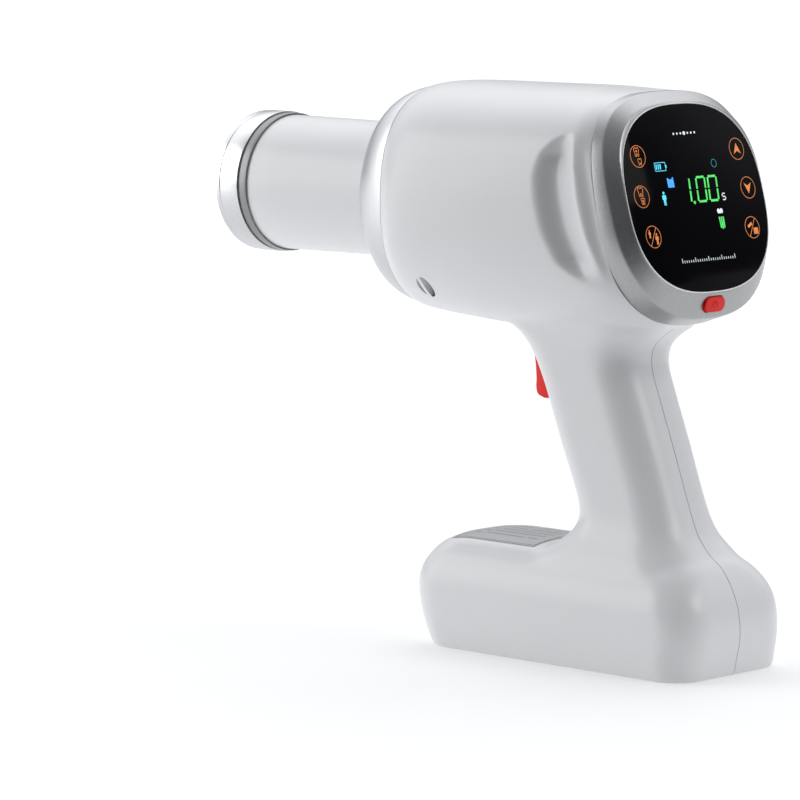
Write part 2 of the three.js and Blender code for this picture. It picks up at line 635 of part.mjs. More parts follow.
// ---------------------------------------------------------------- finishes
const finish = (color, roughness, metalness) => ({ color, roughness, metalness });
const WHITE_ABS = finish(0xe4e5e7, 0.32, 0);
const SILVER_PAINT = finish(0xb4b7bb, 0.38, 0.75);
const PEARL = finish(0xd9dbdd, 0.3, 0.2);
const SATIN_METAL = finish(0xa9acb0, 0.3, 1);
const BLASTED = finish(0xc9cbce, 0.55, 0.9);
const BLACK_GLASS = finish(0x050506, 0.05, 0);
const RED_GLOSS = finish(0xd81e12, 0.18, 0);
const STEEL = finish(0x9b9ea2, 0.3, 1);
const BLACK_PLASTIC = finish(0x1b1b1d, 0.5, 0);
const GREEN_BOARD = finish(0x1d5b3a, 0.5, 0);
const LEAD = finish(0x5f6368, 0.6, 0.8);
const GLASS = finish(0xcfe0e4, 0.05, 0);
const COPPER = finish(0xb87333, 0.35, 1);
const WRAP = finish(0x2d6fb0, 0.4, 0);
const LABEL = finish(0xb9bcc0, 0.4, 0.2);

const unit = new THREE.Group();
function add(name, geometry, material) {
  const mesh = new THREE.Mesh(geometry, new THREE.MeshStandardMaterial(material));
  mesh.name = name;
  unit.add(mesh);
}

add('shell_left', toGeometry(leftHalf), WHITE_ABS);
add('shell_right', toGeometry(rightHalf), WHITE_ABS);
add('nose_ring', noseRing(), PEARL);
add('cone_tube', coneTube(), WHITE_ABS);
add('spacer_ring', spacerRing(), WHITE_ABS);
add('cap_band', capBand(), SATIN_METAL);
add('cap_face', capFace(), BLASTED);
add('rear_bezel', rearBezel(), SILVER_PAINT);
add('display_glass', displayGlass(), BLACK_GLASS);
add('display_module', displayModule(), BLACK_PLASTIC);
add('display_board', displayBoard(), GREEN_BOARD);
add('power_button', powerButton(), RED_GLOSS);
add('power_switch_stem', switchStem(), BLACK_PLASTIC);
add('power_switch', powerSwitch(), BLACK_PLASTIC);
add('trigger', trigger(), RED_GLOSS);
add('trigger_pin', rodY(PIVOT[0], -12, 12, PIVOT[1], PIN_R, 16), STEEL);
add('trigger_spring', triggerSpring(), STEEL);
add('trigger_switch', microSwitch(), BLACK_PLASTIC);
add('trigger_switch_plunger', switchPlunger(), RED_GLOSS);
add('rating_label', ratingLabel(), LABEL);
add('charging_socket', chargingSocket(), BLACK_PLASTIC);
SCREWS.forEach(([x, z], i) => add(`case_screw_${i + 1}`, caseScrew(x, z), STEEL));
add('tank_body', tankBody(), SATIN_METAL);
add('tank_lid', tankLid(), SATIN_METAL);
add('lead_liner', leadLiner(), LEAD);
add('xray_tube_glass', tubeGlass(), GLASS);
add('anode', anode(), COPPER);
add('cathode', cathode(), STEEL);
add('collimator', collimator(), LEAD);
add('beam_filter', beamFilter(), SATIN_METAL);
add('cone_liner', coneLiner(), LEAD);
add('transformer_core', transformerCore(), BLACK_PLASTIC);
add('transformer_coil', transformerCoil(), COPPER);
add('voltage_multiplier', multiplier(), BLACK_PLASTIC);
add('main_board', mainBoard(), GREEN_BOARD);
add('processor', processor(), BLACK_PLASTIC);
add('buzzer', buzzer(), BLACK_PLASTIC);
for (let i = 0; i < 6; i++) add(`battery_cell_${i + 1}`, batteryCell(i), WRAP);
add('battery_tray', batteryTray(), BLACK_PLASTIC);
add('charge_board', chargeBoard(), GREEN_BOARD);
add('battery_lead', batteryLead(), RED_GLOSS);
add('trigger_lead', triggerLead(), BLACK_PLASTIC);

export default unit;
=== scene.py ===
"""Handheld intraoral x-ray unit: its outer pieces, their finishes, a plain studio and the camera.

Metres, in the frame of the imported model. +X runs from the cone's tip to the display, Y across the
unit and Z up. Lengths are written in millimetres and turned into metres where they are used.
"""
import json
import math

import bmesh
import bpy
from mathutils import Matrix, Vector

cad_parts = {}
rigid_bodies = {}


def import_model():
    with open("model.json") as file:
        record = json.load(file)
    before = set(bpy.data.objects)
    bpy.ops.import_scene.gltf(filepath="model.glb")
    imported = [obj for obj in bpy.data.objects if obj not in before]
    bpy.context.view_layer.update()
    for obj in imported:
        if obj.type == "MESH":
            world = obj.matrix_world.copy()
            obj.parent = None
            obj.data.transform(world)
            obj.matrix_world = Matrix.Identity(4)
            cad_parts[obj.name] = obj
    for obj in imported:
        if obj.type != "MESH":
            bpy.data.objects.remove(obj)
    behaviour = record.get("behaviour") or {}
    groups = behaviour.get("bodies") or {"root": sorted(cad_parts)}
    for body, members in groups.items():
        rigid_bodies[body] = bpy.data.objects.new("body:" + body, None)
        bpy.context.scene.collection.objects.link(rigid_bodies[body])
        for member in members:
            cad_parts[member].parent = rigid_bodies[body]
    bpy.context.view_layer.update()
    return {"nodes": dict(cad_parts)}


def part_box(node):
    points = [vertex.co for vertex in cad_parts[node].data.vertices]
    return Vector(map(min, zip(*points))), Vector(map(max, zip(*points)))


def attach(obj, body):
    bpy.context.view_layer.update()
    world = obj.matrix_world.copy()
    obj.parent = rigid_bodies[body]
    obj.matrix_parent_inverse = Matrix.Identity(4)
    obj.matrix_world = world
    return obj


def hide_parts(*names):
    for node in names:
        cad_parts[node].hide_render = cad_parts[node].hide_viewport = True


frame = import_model()
MM = 0.001


def mm(*lengths):
    return tuple(length * MM for length in lengths)


# ---------------------------------------------------------------- working by hand
def alone(piece):
    bpy.ops.object.select_all(action="DESELECT")
    piece.select_set(True)
    bpy.context.view_layer.objects.active = piece


def begin(name):
    """A new, empty piece, open in edit mode."""
    bpy.ops.object.select_all(action="DESELECT")
    bpy.ops.mesh.primitive_plane_add(size=1)
    piece = bpy.context.object
    piece.name = piece.data.name = name
    bpy.ops.object.mode_set(mode="EDIT")
    bpy.ops.mesh.delete(type="VERT")
    return piece


def reopen(piece):
    alone(piece)
    bpy.ops.object.mode_set(mode="EDIT")
    bpy.ops.mesh.select_mode(type="VERT")
    bpy.ops.mesh.select_all(action="DESELECT")


def close():
    bpy.ops.object.mode_set(mode="OBJECT")
    return bpy.context.object


def edited():
    mesh = bmesh.from_edit_mesh(bpy.context.object.data)
    mesh.verts.index_update()
    mesh.verts.ensure_lookup_table()
    return mesh


def pick(test):
    """Selects the vertices whose place passes the test, and nothing else."""
    bpy.ops.mesh.select_all(action="DESELECT")
    mesh = edited()
    for vertex in mesh.verts:
        vertex.select = test(vertex.co)
    mesh.select_flush(True)
    bmesh.update_edit_mesh(bpy.context.object.data)


def pick_faces(test):
    """Selects the faces whose centre and normal pass the test."""
    bpy.ops.mesh.select_all(action="DESELECT")
    mesh = edited()
    for face in mesh.faces:
        if test(face.calc_center_median(), face.normal):
            face.select_set(True)
    bmesh.update_edit_mesh(bpy.context.object.data)


def keep_ring():
    """Remembers the selected outline as a vertex group, and returns the group's name."""
    bpy.ops.object.vertex_group_assign_new()
    return bpy.context.object.vertex_groups[-1].name


def modify(piece, kind, **settings):
    """Adds a modifier to the piece and applies it."""
    alone(piece)
    bpy.ops.object.modifier_add(type=kind)
    modifier = piece.modifiers[-1]
    for name, value in settings.items():
        setattr(modifier, name, value)
    bpy.ops.object.modifier_apply(modifier=modifier.name)
    return piece


def soften(piece, width, degrees, segments=3):
    """Rounds the piece's edges and shades it smooth between them."""
    modify(piece, "BEVEL", width=width * MM, segments=segments, limit_method="ANGLE",
           angle_limit=math.radians(degrees), harden_normals=False)
    return shade(piece)


def shade(piece, degrees=35):
    alone(piece)
    bpy.ops.object.shade_smooth_by_angle(angle=math.radians(degrees))
    return piece


def carve(piece, *tools):
    """Cuts the tools out of the piece and throws them away."""
    for tool in tools:
        modify(piece, "BOOLEAN", operation="DIFFERENCE", object=tool, solver="EXACT")
        bpy.data.objects.remove(tool)
    return piece


def merge(piece, *others):
    alone(piece)
    for other in others:
        other.select_set(True)
    bpy.ops.object.join()
    return piece


def copy_of(piece, name):
    alone(piece)
    bpy.ops.object.duplicate()
    made = bpy.context.object
    made.name = made.data.name = name
    return made


def settle(piece):
    """Puts the piece's place into its mesh."""
    alone(piece)
    bpy.ops.object.transform_apply(location=True, rotation=True, scale=True)
    return piece


def outward():
    bpy.ops.mesh.select_all(action="SELECT")
    bpy.ops.mesh.normals_make_consistent(inside=False)


# ---------------------------------------------------------------- outlines and skins
def oval(across, up, down, powers, steps):
    """A superellipse outline in the YZ plane: a square with its corners rounded to each power."""
    bpy.ops.mesh.select_all(action="DESELECT")
    bpy.ops.mesh.primitive_plane_add(size=2, rotation=(0, math.pi / 2, 0))
    for side, power in ((1, powers[0]), (-1, powers[1])):
        pick(lambda co: co.z * side > 0.99 and abs(co.y) > 0.99)
        bpy.ops.mesh.bevel(offset=0.998, segments=steps, affect="VERTICES",
                           profile=math.exp(-2 * math.log(2) / power))
    pick(lambda co: max(abs(co.y), abs(co.z)) > 0.5)
    bpy.ops.mesh.remove_doubles(threshold=0.006)
    pick(lambda co: max(abs(co.y), abs(co.z)) > 0.5)
    bpy.ops.mesh.delete(type="ONLY_FACE")
    pick(lambda co: max(abs(co.y), abs(co.z)) > 0.5 and co.z < 0)
    bpy.ops.transform.resize(value=(1, 1, down / up), center_override=(0, 0, 0))
    pick(lambda co: max(abs(co.y), abs(co.z)) > 0.5)
    bpy.ops.transform.resize(value=(1, across * MM, up * MM), center_override=(0, 0, 0))


def level(z, front, rear, half, radius):
    """A rounded rectangle in a level plane."""
    bpy.ops.mesh.select_all(action="DESELECT")
    bpy.ops.mesh.primitive_plane_add(size=2)
    bpy.ops.transform.resize(value=((rear - front) / 2, half, 1), center_override=(0, 0, 0))
    radius = min(radius, half - 0.4, (rear - front) / 2 - 0.4)
    bpy.ops.mesh.bevel(offset=radius, segments=10, profile=0.5, affect="VERTICES")
    bpy.ops.mesh.delete(type="ONLY_FACE")
    pick(lambda co: abs(co.x) > 0.5 or abs(co.y) > 0.5)
    bpy.ops.transform.resize(value=(MM, MM, MM), center_override=(0, 0, 0))
    bpy.ops.transform.translate(value=mm((front + rear) / 2, 0, z))
    return keep_ring()


def circle(x, radius, centre_z, steps=96):
    bpy.ops.mesh.select_all(action="DESELECT")
    bpy.ops.mesh.primitive_circle_add(vertices=steps, radius=radius * MM, rotation=(0, math.pi / 2, 0),
                                      location=mm(x, 0, centre_z))
    return keep_ring()


def pick_rings(*rings):
    bpy.ops.mesh.select_all(action="DESELECT")
    for ring in rings:
        bpy.ops.object.vertex_group_set_active(group=ring)
        bpy.ops.object.vertex_group_select()


def skin(rings, ends="capped"):
    """Bridges the outlines in their order. The ends are capped, open, or joined to each other."""
    pairs = list(zip(rings, rings[1:])) + ([(rings[-1], rings[0])] if ends == "joined" else [])
    for pair in pairs:
        pick_rings(*pair)
        bpy.ops.mesh.bridge_edge_loops()
    if ends == "capped":
        for ring in (rings[0], rings[-1]):
            pick_rings(ring)
            bpy.ops.mesh.edge_face_add()
    bpy.ops.object.vertex_group_remove(all=True)
    outward()


HAIR = 0.02           # millimetres between two outlines of one flat face


def turned(name, profile, centre_z, steps, ends="joined"):
    """A piece turned about an axis along X, from its profile's [x, radius] points.
    Each outline sits a hair behind the last, so that a flat face's two still have a direction."""
    piece = begin(name)
    rings = [circle(x + HAIR * i, radius, centre_z, steps) for i, (x, radius) in enumerate(profile)]
    skin(rings, ends)
    close()
    return piece


def between(rows, count):
    """Rows of numbers made finer by a smooth curve through them, led by the first column."""
    def slope(i, k):
        low, high = max(i - 1, 0), min(i + 1, len(rows) - 1)
        return (rows[high][k] - rows[low][k]) / (rows[high][0] - rows[low][0])
    made = []
    for i in range(len(rows) - 1):
        span = rows[i + 1][0] - rows[i][0]
        for step in range(count):
            t = step / count
            row = [rows[i][0] + span * t]
            for k in range(1, len(rows[i])):
                row.append((2 * t**3 - 3 * t**2 + 1) * rows[i][k]
                           + (t**3 - 2 * t**2 + t) * span * slope(i, k)
                           + (3 * t**2 - 2 * t**3) * rows[i + 1][k]
                           + (t**3 - t**2) * span * slope(i + 1, k))
            made.append(row)
    return made + [list(rows[-1])]


def outline(points):
    """Draws a closed outline by extruding one corner from point to point, and fills it."""
    bpy.ops.mesh.select_all(action="DESELECT")
    bpy.ops.mesh.primitive_plane_add(size=0.0002)
    bpy.ops.mesh.merge(type="CENTER")
    bpy.ops.transform.translate(value=points[0])
    for a, b in zip(points, points[1:]):
        step = Vector(b) - Vector(a)
        bpy.ops.mesh.extrude_region_move(TRANSFORM_OT_translate={"value": step})
    bpy.ops.mesh.select_linked()
    bpy.ops.mesh.edge_face_add()


def box(name, low, high):
    """A cutting block between two corners, in millimetres."""
    bpy.ops.object.select_all(action="DESELECT")
    centre = [(a + b) / 2 for a, b in zip(low, high)]
    size = [b - a for a, b in zip(low, high)]
    bpy.ops.mesh.primitive_cube_add(size=1, location=mm(*centre))
    piece = bpy.context.object
    piece.name, piece.scale = name, mm(*size)
    return settle(piece)


def rod(name, x, y0, y1, z, radius, steps):
    """A cutting rod along Y."""
    bpy.ops.object.select_all(action="DESELECT")
    bpy.ops.mesh.primitive_cylinder_add(vertices=steps, radius=radius * MM, depth=abs(y1 - y0) * MM,
                                        location=mm(x, (y0 + y1) / 2, z), rotation=(math.pi / 2, 0, 0))
    piece = bpy.context.object
    piece.name = name
    return settle(piece)


# ---------------------------------------------------------------- sizes shared with the frame
HALF_LENGTH = 148.85
BEAM_Z = 205
CONE_R = 32.2
SLIM_R = CONE_R - 0.8
NOSE_X = -28.95
SPLIT = 0.2           # half of the parting gap
WALL = 2.6
PIVOT = (40.5, 147.5)
EYELET = (-1, 166.2)
POST = (-2.6, -0.4)   # front and rear of the post across an eyelet, from its centre
CLEAR = 62            # from the middle plane, clear of the casing's side
TRIGGER_SLOT = ((16, -8.7, 114.3), (56, 8.7, 148.9))
SOCKET_HOLE = ((-30, -4.9, 18.1), (-9.6, 4.9, 29.9))
SCREWS = [(-11, 249), (82, 249), (4, 158.5), (90, 157.5), (72, 104), (-4, 38), (50, 40), (138, 14)]
SCREW_HEAD_Y = 14

SCREEN_TILT = math.radians(15.3)
SCREEN_AT = Vector((121.88, 0, 211.13))
SCREEN_OUT = Vector((math.cos(SCREEN_TILT), 0, math.sin(SCREEN_TILT)))
SCREEN_UP = Vector((-math.sin(SCREEN_TILT), 0, math.cos(SCREEN_TILT)))


def on_screen(u, v, n):
    """A point of the display in millimetres: u across, v up the glass, n out of its face."""
    return SCREEN_AT + Vector((0, u, 0)) + SCREEN_UP * v + SCREEN_OUT * n


def screen_place(u, v, n):
    """Turns a drawing in the XY plane onto the display, its X across and its Y up."""
    turn = Matrix((Vector((0, 1, 0)), SCREEN_UP, SCREEN_OUT)).transposed().to_4x4()
    return Matrix.Translation(on_screen(u, v, n) * MM) @ turn


# ---------------------------------------------------------------- casing
HEAD_STATIONS = [
    [-34, 204.2, 0, 37, 48, 2.4],
    [NOSE_X, 204.3, 0, 43.7, 51, 2.4],
    [-25, 204.4, 0, 48, 52.2, 2.42],
    [-16, 204.6, 0, 53.4, 53.2, 2.46],
    [0, 204.2, 0, 55.6, 54, 2.55],
    [34, 203.3, 0, 56.6, 55, 2.68],
    [66, 203.4, 2.5, 56.6, 55, 2.85],
    [92, 204, 7.5, 56.3, 54, 3.0],
    [101.5, 204.8, 9.4, 55.6, 53.1, 3.05],
    [109.45, 205.5, 10.8, 52.4, 51.9, 3.1],
    [118, 207.2, 12, 49.5, 49.5, 3.1],
]
HANDLE_STATIONS = [
    [176, 12, 96, 34, 24], [170, 14, 98, 34, 24], [160, 17, 105, 33, 22], [152, 24.5, 108.6, 28.6, 20],
    [146, 31, 100.5, 25, 18], [140, 35.6, 96.6, 23.4, 17], [132, 39.8, 97, 22.3, 16],
    [122, 44.3, 100.6, 22, 16], [97.4, 53.9, 110, 22, 16], [76, 62.9, 117.8, 22, 16],
    [66, 65.4, 121.6, 22.8, 16], [58.8, 62.2, 125.2, 24.8, 17], [53, 54, 130.4, 28, 19],
    [46, 40, 135, 31.5, 20], [40, 38, 134, 31.5, 20],
]
BASE_STATIONS = [
    [0, -10, 145.2, 36.6, 15], [2, -11.6, 145.9, 37.6, 16], [7, -14.5, 146.8, 38, 17],
    [17, -19, HALF_LENGTH, 38, 18], [28, -20.6, 148, 38, 18], [35.5, -19.3, 145.6, 36.6, 17.5],
    [42, -16, 142, 33.2, 17], [46.8, -12, 138.4, 29.4, 17], [50.2, -4.6, 134, 21.6, 14],
    [51.6, 6, 128, 9, 7],
]


def head_form(name, inset):
    begin(name)
    rings = []
    for x, z, tilt, half, tall, above in between(HEAD_STATIONS, 4 if inset == 0 else 2):
        below = 2.4
        oval(half - inset, tall - inset, tall - inset, (above, below), 24 if inset == 0 else 10)
        bpy.ops.transform.rotate(value=math.radians(tilt), orient_axis="Y", center_override=(0, 0, 0))
        bpy.ops.transform.translate(value=mm(x, 0, z))
        rings.append(keep_ring())
    skin(rings)
    return close()


def level_form(name, stations, inset, finer):
    begin(name)
    skin([level(z, front + inset, rear - inset, half - inset, radius - inset * 0.6)
          for z, front, rear, half, radius in between(stations, finer)])
    return close()


SCOOP_EDGES = [                       # height, front edge and rear ridge of the finger scoop
    [173, 106, 110.5], [177.4, 95, 110], [184.4, 86, 108.2], [198.2, 79.4, 103.6],
    [211.5, 75.6, 100], [221.5, 74.4, 97.6], [230, 76.6, 95.4], [236.1, 82, 93.8], [242, 91, 92.6],
]
SCOOP_FADE = (14, 13)                 # heights over which the scoop fades in, at its foot and its top
SCOOP_DEPTH = 6.4
SCOOP_WALL = 0.38                     # share of the scoop's width that its front wall takes
BED_RISE, BED_CURVE = 0.95, 1.4       # share of the depth that the bed wins back, and how late
RIDGE_SINK, VALLEY_SINK = 0.32, 1.1
FRAME_LEAN, FRAME_REACH = 0.264, 13.2      # the frame's front edge, from the display's plane
SCOOPS_FROM = 0.035                   # metres from the middle plane: the sides that are scooped


def scoop_dip(x, z):
    """How far the finger scoop sinks the casing's side: a soft front wall, a bed that rises to a
    ridge, and a shallow valley between the ridge and the display's frame."""
    low, high = SCOOP_EDGES[0][0], SCOOP_EDGES[-1][0]
    if not low < z < high:
        return 0
    row = min(range(len(SCOOP_EDGES) - 1), key=lambda i: SCOOP_EDGES[i + 1][0] < z)
    (z0, f0, r0), (z1, f1, r1) = SCOOP_EDGES[row:row + 2]
    share = (z - z0) / (z1 - z0)
    front, ridge = f0 + (f1 - f0) * share, r0 + (r1 - r0) * share
    ease = lambda t: t * t * (3 - 2 * t)
    fade = ease(min(1, (z - low) / SCOOP_FADE[0])) * ease(min(1, (high - z) / SCOOP_FADE[1]))
    t = (x - front) / (ridge - front)
    if t <= 0:
        return 0
    if t < SCOOP_WALL:
        return SCOOP_DEPTH * fade * ease(t / SCOOP_WALL)
    if t < 1:
        bed = (t - SCOOP_WALL) / (1 - SCOOP_WALL)
        return SCOOP_DEPTH * fade * (1 - BED_RISE * bed ** BED_CURVE)
    rim = SCREEN_AT.x - FRAME_LEAN * (z - SCREEN_AT.z) - FRAME_REACH
    along = (x - ridge) / max(2, rim - ridge)
    if along >= 1:
        return 0
    return fade * (RIDGE_SINK * (1 - along) + VALLEY_SINK * math.sin(math.pi * along))


def casing_skin(name, inset, voxel):
    """Head, handle and base as one closed skin, with the finger scoops in its sides."""
    head = head_form(name, inset)
    handle = level_form("handle_form", HANDLE_STATIONS, inset, 3 if inset == 0 else 1)
    stations = BASE_STATIONS
    if inset:
        low, high, top = 3, 48.6, BASE_STATIONS[-1][0]
        stations = [[low + z / top * (high - low), *rest] for z, *rest in BASE_STATIONS]
    base = level_form("base_form", stations, inset, 3 if inset == 0 else 1)
    merge(head, handle, base)
    modify(head, "REMESH", mode="VOXEL", voxel_size=voxel * MM, use_smooth_shade=True)
    for vertex in head.data.vertices:
        if abs(vertex.co.y) > SCOOPS_FROM:
            x, y, z = vertex.co / MM
            vertex.co.y -= math.copysign(scoop_dip(x, z), y) * MM
    return head


def fillet(piece, low, high, times):
    """Smooths the joint between two forms, over a range of heights."""
    group = piece.vertex_groups.new(name="fillet")
    for vertex in piece.data.vertices:
        z = vertex.co.z / MM
        weight = min(1, max(0, min((z - low) / 6, (high - z) / 6)))
        if weight > 0:
            group.add([vertex.index], weight, "REPLACE")
    modify(piece, "SMOOTH", factor=0.5, iterations=times, vertex_group="fillet")
    piece.vertex_groups.clear()


def cut_plane(point, normal, region):
    """Cuts a region along a plane, drops the side that the normal points to and fills the cut."""
    pick_faces(region)
    bpy.ops.mesh.bisect(plane_co=Vector(point) * MM, plane_no=normal, use_fill=True,
                        clear_outer=True)


def seam_depth(v):
    """How deep behind the display's plane its frame meets the casing, at a height on the glass."""
    return -13.6 + 0.077 * v


def eyelet_rod(name, side, inner, outer, radius, steps=40):
    """A rod on a cord eyelet's axis, between two distances from the middle plane."""
    return rod(name, EYELET[0], side * inner, side * outer, EYELET[1], radius, steps)


def casing():
    """The outer skin and the inner one, whose walls are thicker round the cord eyelets."""
    whole = casing_skin("casing", 0, 1.3)
    modify(whole, "SMOOTH", factor=0.5, iterations=6)
    fillet(whole, 126, 178, 26)
    fillet(whole, 40, 72, 30)
    inside = casing_skin("casing_inside", WALL, 3.2)
    for side in (-1, 1):
        carve(inside, eyelet_rod("cup_tool", side, 25.4, CLEAR, 6.6, 32))
    reopen(inside)
    bpy.ops.mesh.select_all(action="SELECT")
    bpy.ops.mesh.flip_normals()
    close()
    merge(whole, inside)
    reopen(whole)
    cut_plane((NOSE_X, 0, 0), (-1, 0, 0), lambda at, normal: at.x < 0 and at.z > 0.1)
    up = on_screen(0, 10, seam_depth(10)) - on_screen(0, -10, seam_depth(-10))
    away = Vector((0, 1, 0)).cross(up).normalized()
    cut_plane(on_screen(0, 0, seam_depth(0) - 0.25), away,
              lambda at, normal: at.z > 0.15 and at.x > 0.06)
    close()
    return whole


# ---------------------------------------------------------------- finishes
class Wire:
    """A shader socket that can be reckoned with. Each sum adds its node to the finish."""

    def __init__(self, finish, socket):
        self.finish, self.socket = finish, socket

    def reckon(self, operation, *values):
        node = self.finish.node("ShaderNodeMath", {"operation": operation}, dict(enumerate(values)))
        return Wire(self.finish, node.outputs[0])

    def __add__(self, other):
        return self.reckon("ADD", self, other)

    def __sub__(self, other):
        return self.reckon("SUBTRACT", self, other)

    def __rsub__(self, other):
        return self.reckon("SUBTRACT", other, self)

    def __mul__(self, other):
        return self.reckon("MULTIPLY", self, other)

    def __truediv__(self, other):
        return self.reckon("DIVIDE", self, other)

    def __lt__(self, other):
        return self.reckon("LESS_THAN", self, other)

    def __gt__(self, other):
        return self.reckon("GREATER_THAN", self, other)

    def __abs__(self):
        return self.reckon("ABSOLUTE", self)

    def fraction(self):
        return self.reckon("FRACT", self)

    __radd__ = __add__
    __rmul__ = __mul__


class Finish:
    """One material: a principled shader and the pattern nodes that feed it."""

    def __init__(self, name, colour, roughness, metallic=0.0, **constants):
        self.material = bpy.data.materials.new(name)
        self.material.use_nodes = True
        self.tree = self.material.node_tree
        self.shader = self.tree.nodes["Principled BSDF"]
        self.colour, self.roughness = colour, roughness
        self.material.diffuse_color = (*colour, 1)
        self.set("Base Color", (*colour, 1))
        self.set("Roughness", roughness)
        self.set("Metallic", metallic)
        for name, value in constants.items():
            self.set(name.replace("_", " "), value)
        self.place = self.node("ShaderNodeTexCoord").outputs["Object"]

    def set(self, name, value):
        if isinstance(value, Wire):
            self.tree.links.new(value.socket, self.shader.inputs[name])
        else:
            self.shader.inputs[name].default_value = value

    def node(self, kind, settings=None, values=None):
        made = self.tree.nodes.new(kind)
        for name, value in (settings or {}).items():
            setattr(made, name, value)
        for name, value in (values or {}).items():
            socket = value.socket if isinstance(value, Wire) else value
            if isinstance(socket, bpy.types.NodeSocket):
                self.tree.links.new(socket, made.inputs[name])
            else:
                made.inputs[name].default_value = value
        return made

    def noise(self, scale, detail, stretch=None):
        place = self.place
        if stretch:
            place = self.node("ShaderNodeMapping", None, {"Vector": place, "Scale": stretch}).outputs[0]
        made = self.node("ShaderNodeTexNoise", None,
                         {"Vector": place, "Scale": scale, "Detail": detail})
        return Wire(self, made.outputs["Fac"])

    def cells(self, scale):
        made = self.node("ShaderNodeTexVoronoi", None, {"Vector": self.place, "Scale": scale})
        return Wire(self, made.outputs["Distance"])

    def axes(self):
        made = self.node("ShaderNodeSeparateXYZ", None, {"Vector": self.place})
        return [Wire(self, output) for output in made.outputs]

    def range(self, value, low, high, start=0.0, end=1.0):
        made = self.node("ShaderNodeMapRange", {"interpolation_type": "SMOOTHSTEP"},
                         {0: value, 1: low, 2: high, 3: start, 4: end})
        return Wire(self, made.outputs[0])

    def mix(self, share, a, b):
        made = self.node("ShaderNodeMix", {"data_type": "RGBA"},
                         {0: share, 6: (*a, 1) if isinstance(a, tuple) else a,
                          7: (*b, 1) if isinstance(b, tuple) else b})
        return Wire(self, made.outputs[2])

    def bump(self, height, strength, distance):
        made = self.node("ShaderNodeBump", None,
                         {"Height": height, "Strength": strength, "Distance": distance * MM})
        self.set("Normal", Wire(self, made.outputs[0]))

    def tint(self, share, strength):
        """Varies the colour by a share, from darker to lighter."""
        dark = tuple(c * (1 - strength) for c in self.colour)
        light = tuple(min(1, c * (1 + strength)) for c in self.colour)
        self.set("Base Color", self.mix(share, dark, light))


def moulded(name, colour, roughness, grain=0.03, coat=0.0, gloss=0.5):
    """Injection-moulded plastic: fine spark texture, slow drift of tone and faint handling marks."""
    made = Finish(name, colour, roughness, Coat_Weight=coat, Coat_Roughness=0.12, IOR=1.5,
                  Specular_IOR_Level=gloss)
    fine = made.noise(2400, 2)
    drift = made.noise(14, 3)
    rubs = made.noise(60, 4, stretch=(1, 1, 3))
    made.tint(drift, 0.02)
    made.set("Roughness", roughness - 0.04 + drift * 0.05 + rubs * 0.04)
    made.bump(fine * 0.7 + made.noise(700, 2) * 0.3, grain, 0.1)
    return made.material


def metal_paint(name, colour, roughness, metallic, sparkle):
    """Sprayed metallic paint: flakes that catch the light, under a thin clear coat."""
    made = Finish(name, colour, roughness, metallic, Coat_Weight=0.25, Coat_Roughness=0.2)
    flakes = made.cells(2600)
    orange_peel = made.noise(420, 2)
    made.tint(made.range(flakes, 0.1, 0.7), sparkle)
    made.set("Roughness", roughness - 0.05 + flakes * 0.1 + made.noise(24, 2) * 0.05)
    made.bump(flakes * 0.6 + orange_peel * 0.6, 0.12, 0.06)
    return made.material


def turned_metal(name, colour, roughness):
    """Metal turned on a lathe about X: fine grooves across, and faint streaks along them."""
    made = Finish(name, colour, roughness, 1.0)
    grooves = made.noise(60, 3, stretch=(90, 1.4, 1.4))
    streaks = made.noise(220, 3, stretch=(14, 1, 1))
    made.tint(streaks, 0.06)
    made.set("Roughness", roughness - 0.06 + grooves * 0.14)
    made.bump(grooves * 0.6 + streaks * 0.4, 0.1, 0.05)
    return made.material


def blasted_metal(name, colour, roughness):
    """Bead-blasted aluminium: a dense field of tiny dimples with a soft sheen."""
    made = Finish(name, colour, roughness, 0.92)
    dimples = made.cells(2200)
    grain = made.noise(3600, 2)
    made.tint(made.noise(900, 3), 0.05)
    made.set("Roughness", roughness - 0.05 + grain * 0.1)
    made.bump(dimples * 0.7 + grain * 0.5, 0.35, 0.06)
    return made.material


def steel_finish(name, colour, roughness):
    made = Finish(name, colour, roughness, 1.0)
    drawn = made.noise(400, 3, stretch=(1, 8, 1))
    made.tint(made.noise(90, 3), 0.08)
    made.set("Roughness", roughness - 0.05 + drawn * 0.16)
    made.bump(drawn, 0.08, 0.04)
    return made.material


def board_finish(name):
    """Green circuit board: solder mask over a lattice of copper tracks and bright pads."""
    made = Finish(name, (0.02, 0.16, 0.07), 0.38)
    lanes = made.range(abs((made.noise(240, 0, stretch=(1, 1, 0.2)) - 0.5) * 2), 0.02, 0.09)
    pads = made.range(made.cells(420), 0.14, 0.2)
    tracks = made.mix(lanes, (0.05, 0.30, 0.12), (0.012, 0.11, 0.05))
    made.set("Base Color", made.mix(pads, (0.62, 0.55, 0.36), tracks))
    made.set("Metallic", (1 - pads) * 0.9)
    made.set("Roughness", 0.3 + pads * 0.12)
    made.bump(lanes * -1.0 + pads * -1.0, 0.2, 0.05)
    return made.material


def wound_copper(name):
    """Enamelled wire in tight turns."""
    made = Finish(name, (0.62, 0.25, 0.09), 0.3, 1.0)
    wave = made.node("ShaderNodeTexWave", {"wave_type": "BANDS", "bands_direction": "Z"},
                     {"Vector": made.place, "Scale": 620.0, "Distortion": 0.15})
    turns = Wire(made, wave.outputs["Fac"])
    made.tint(turns, 0.25)
    made.set("Roughness", 0.42 - turns * 0.15)
    made.bump(turns, 0.5, 0.2)
    return made.material


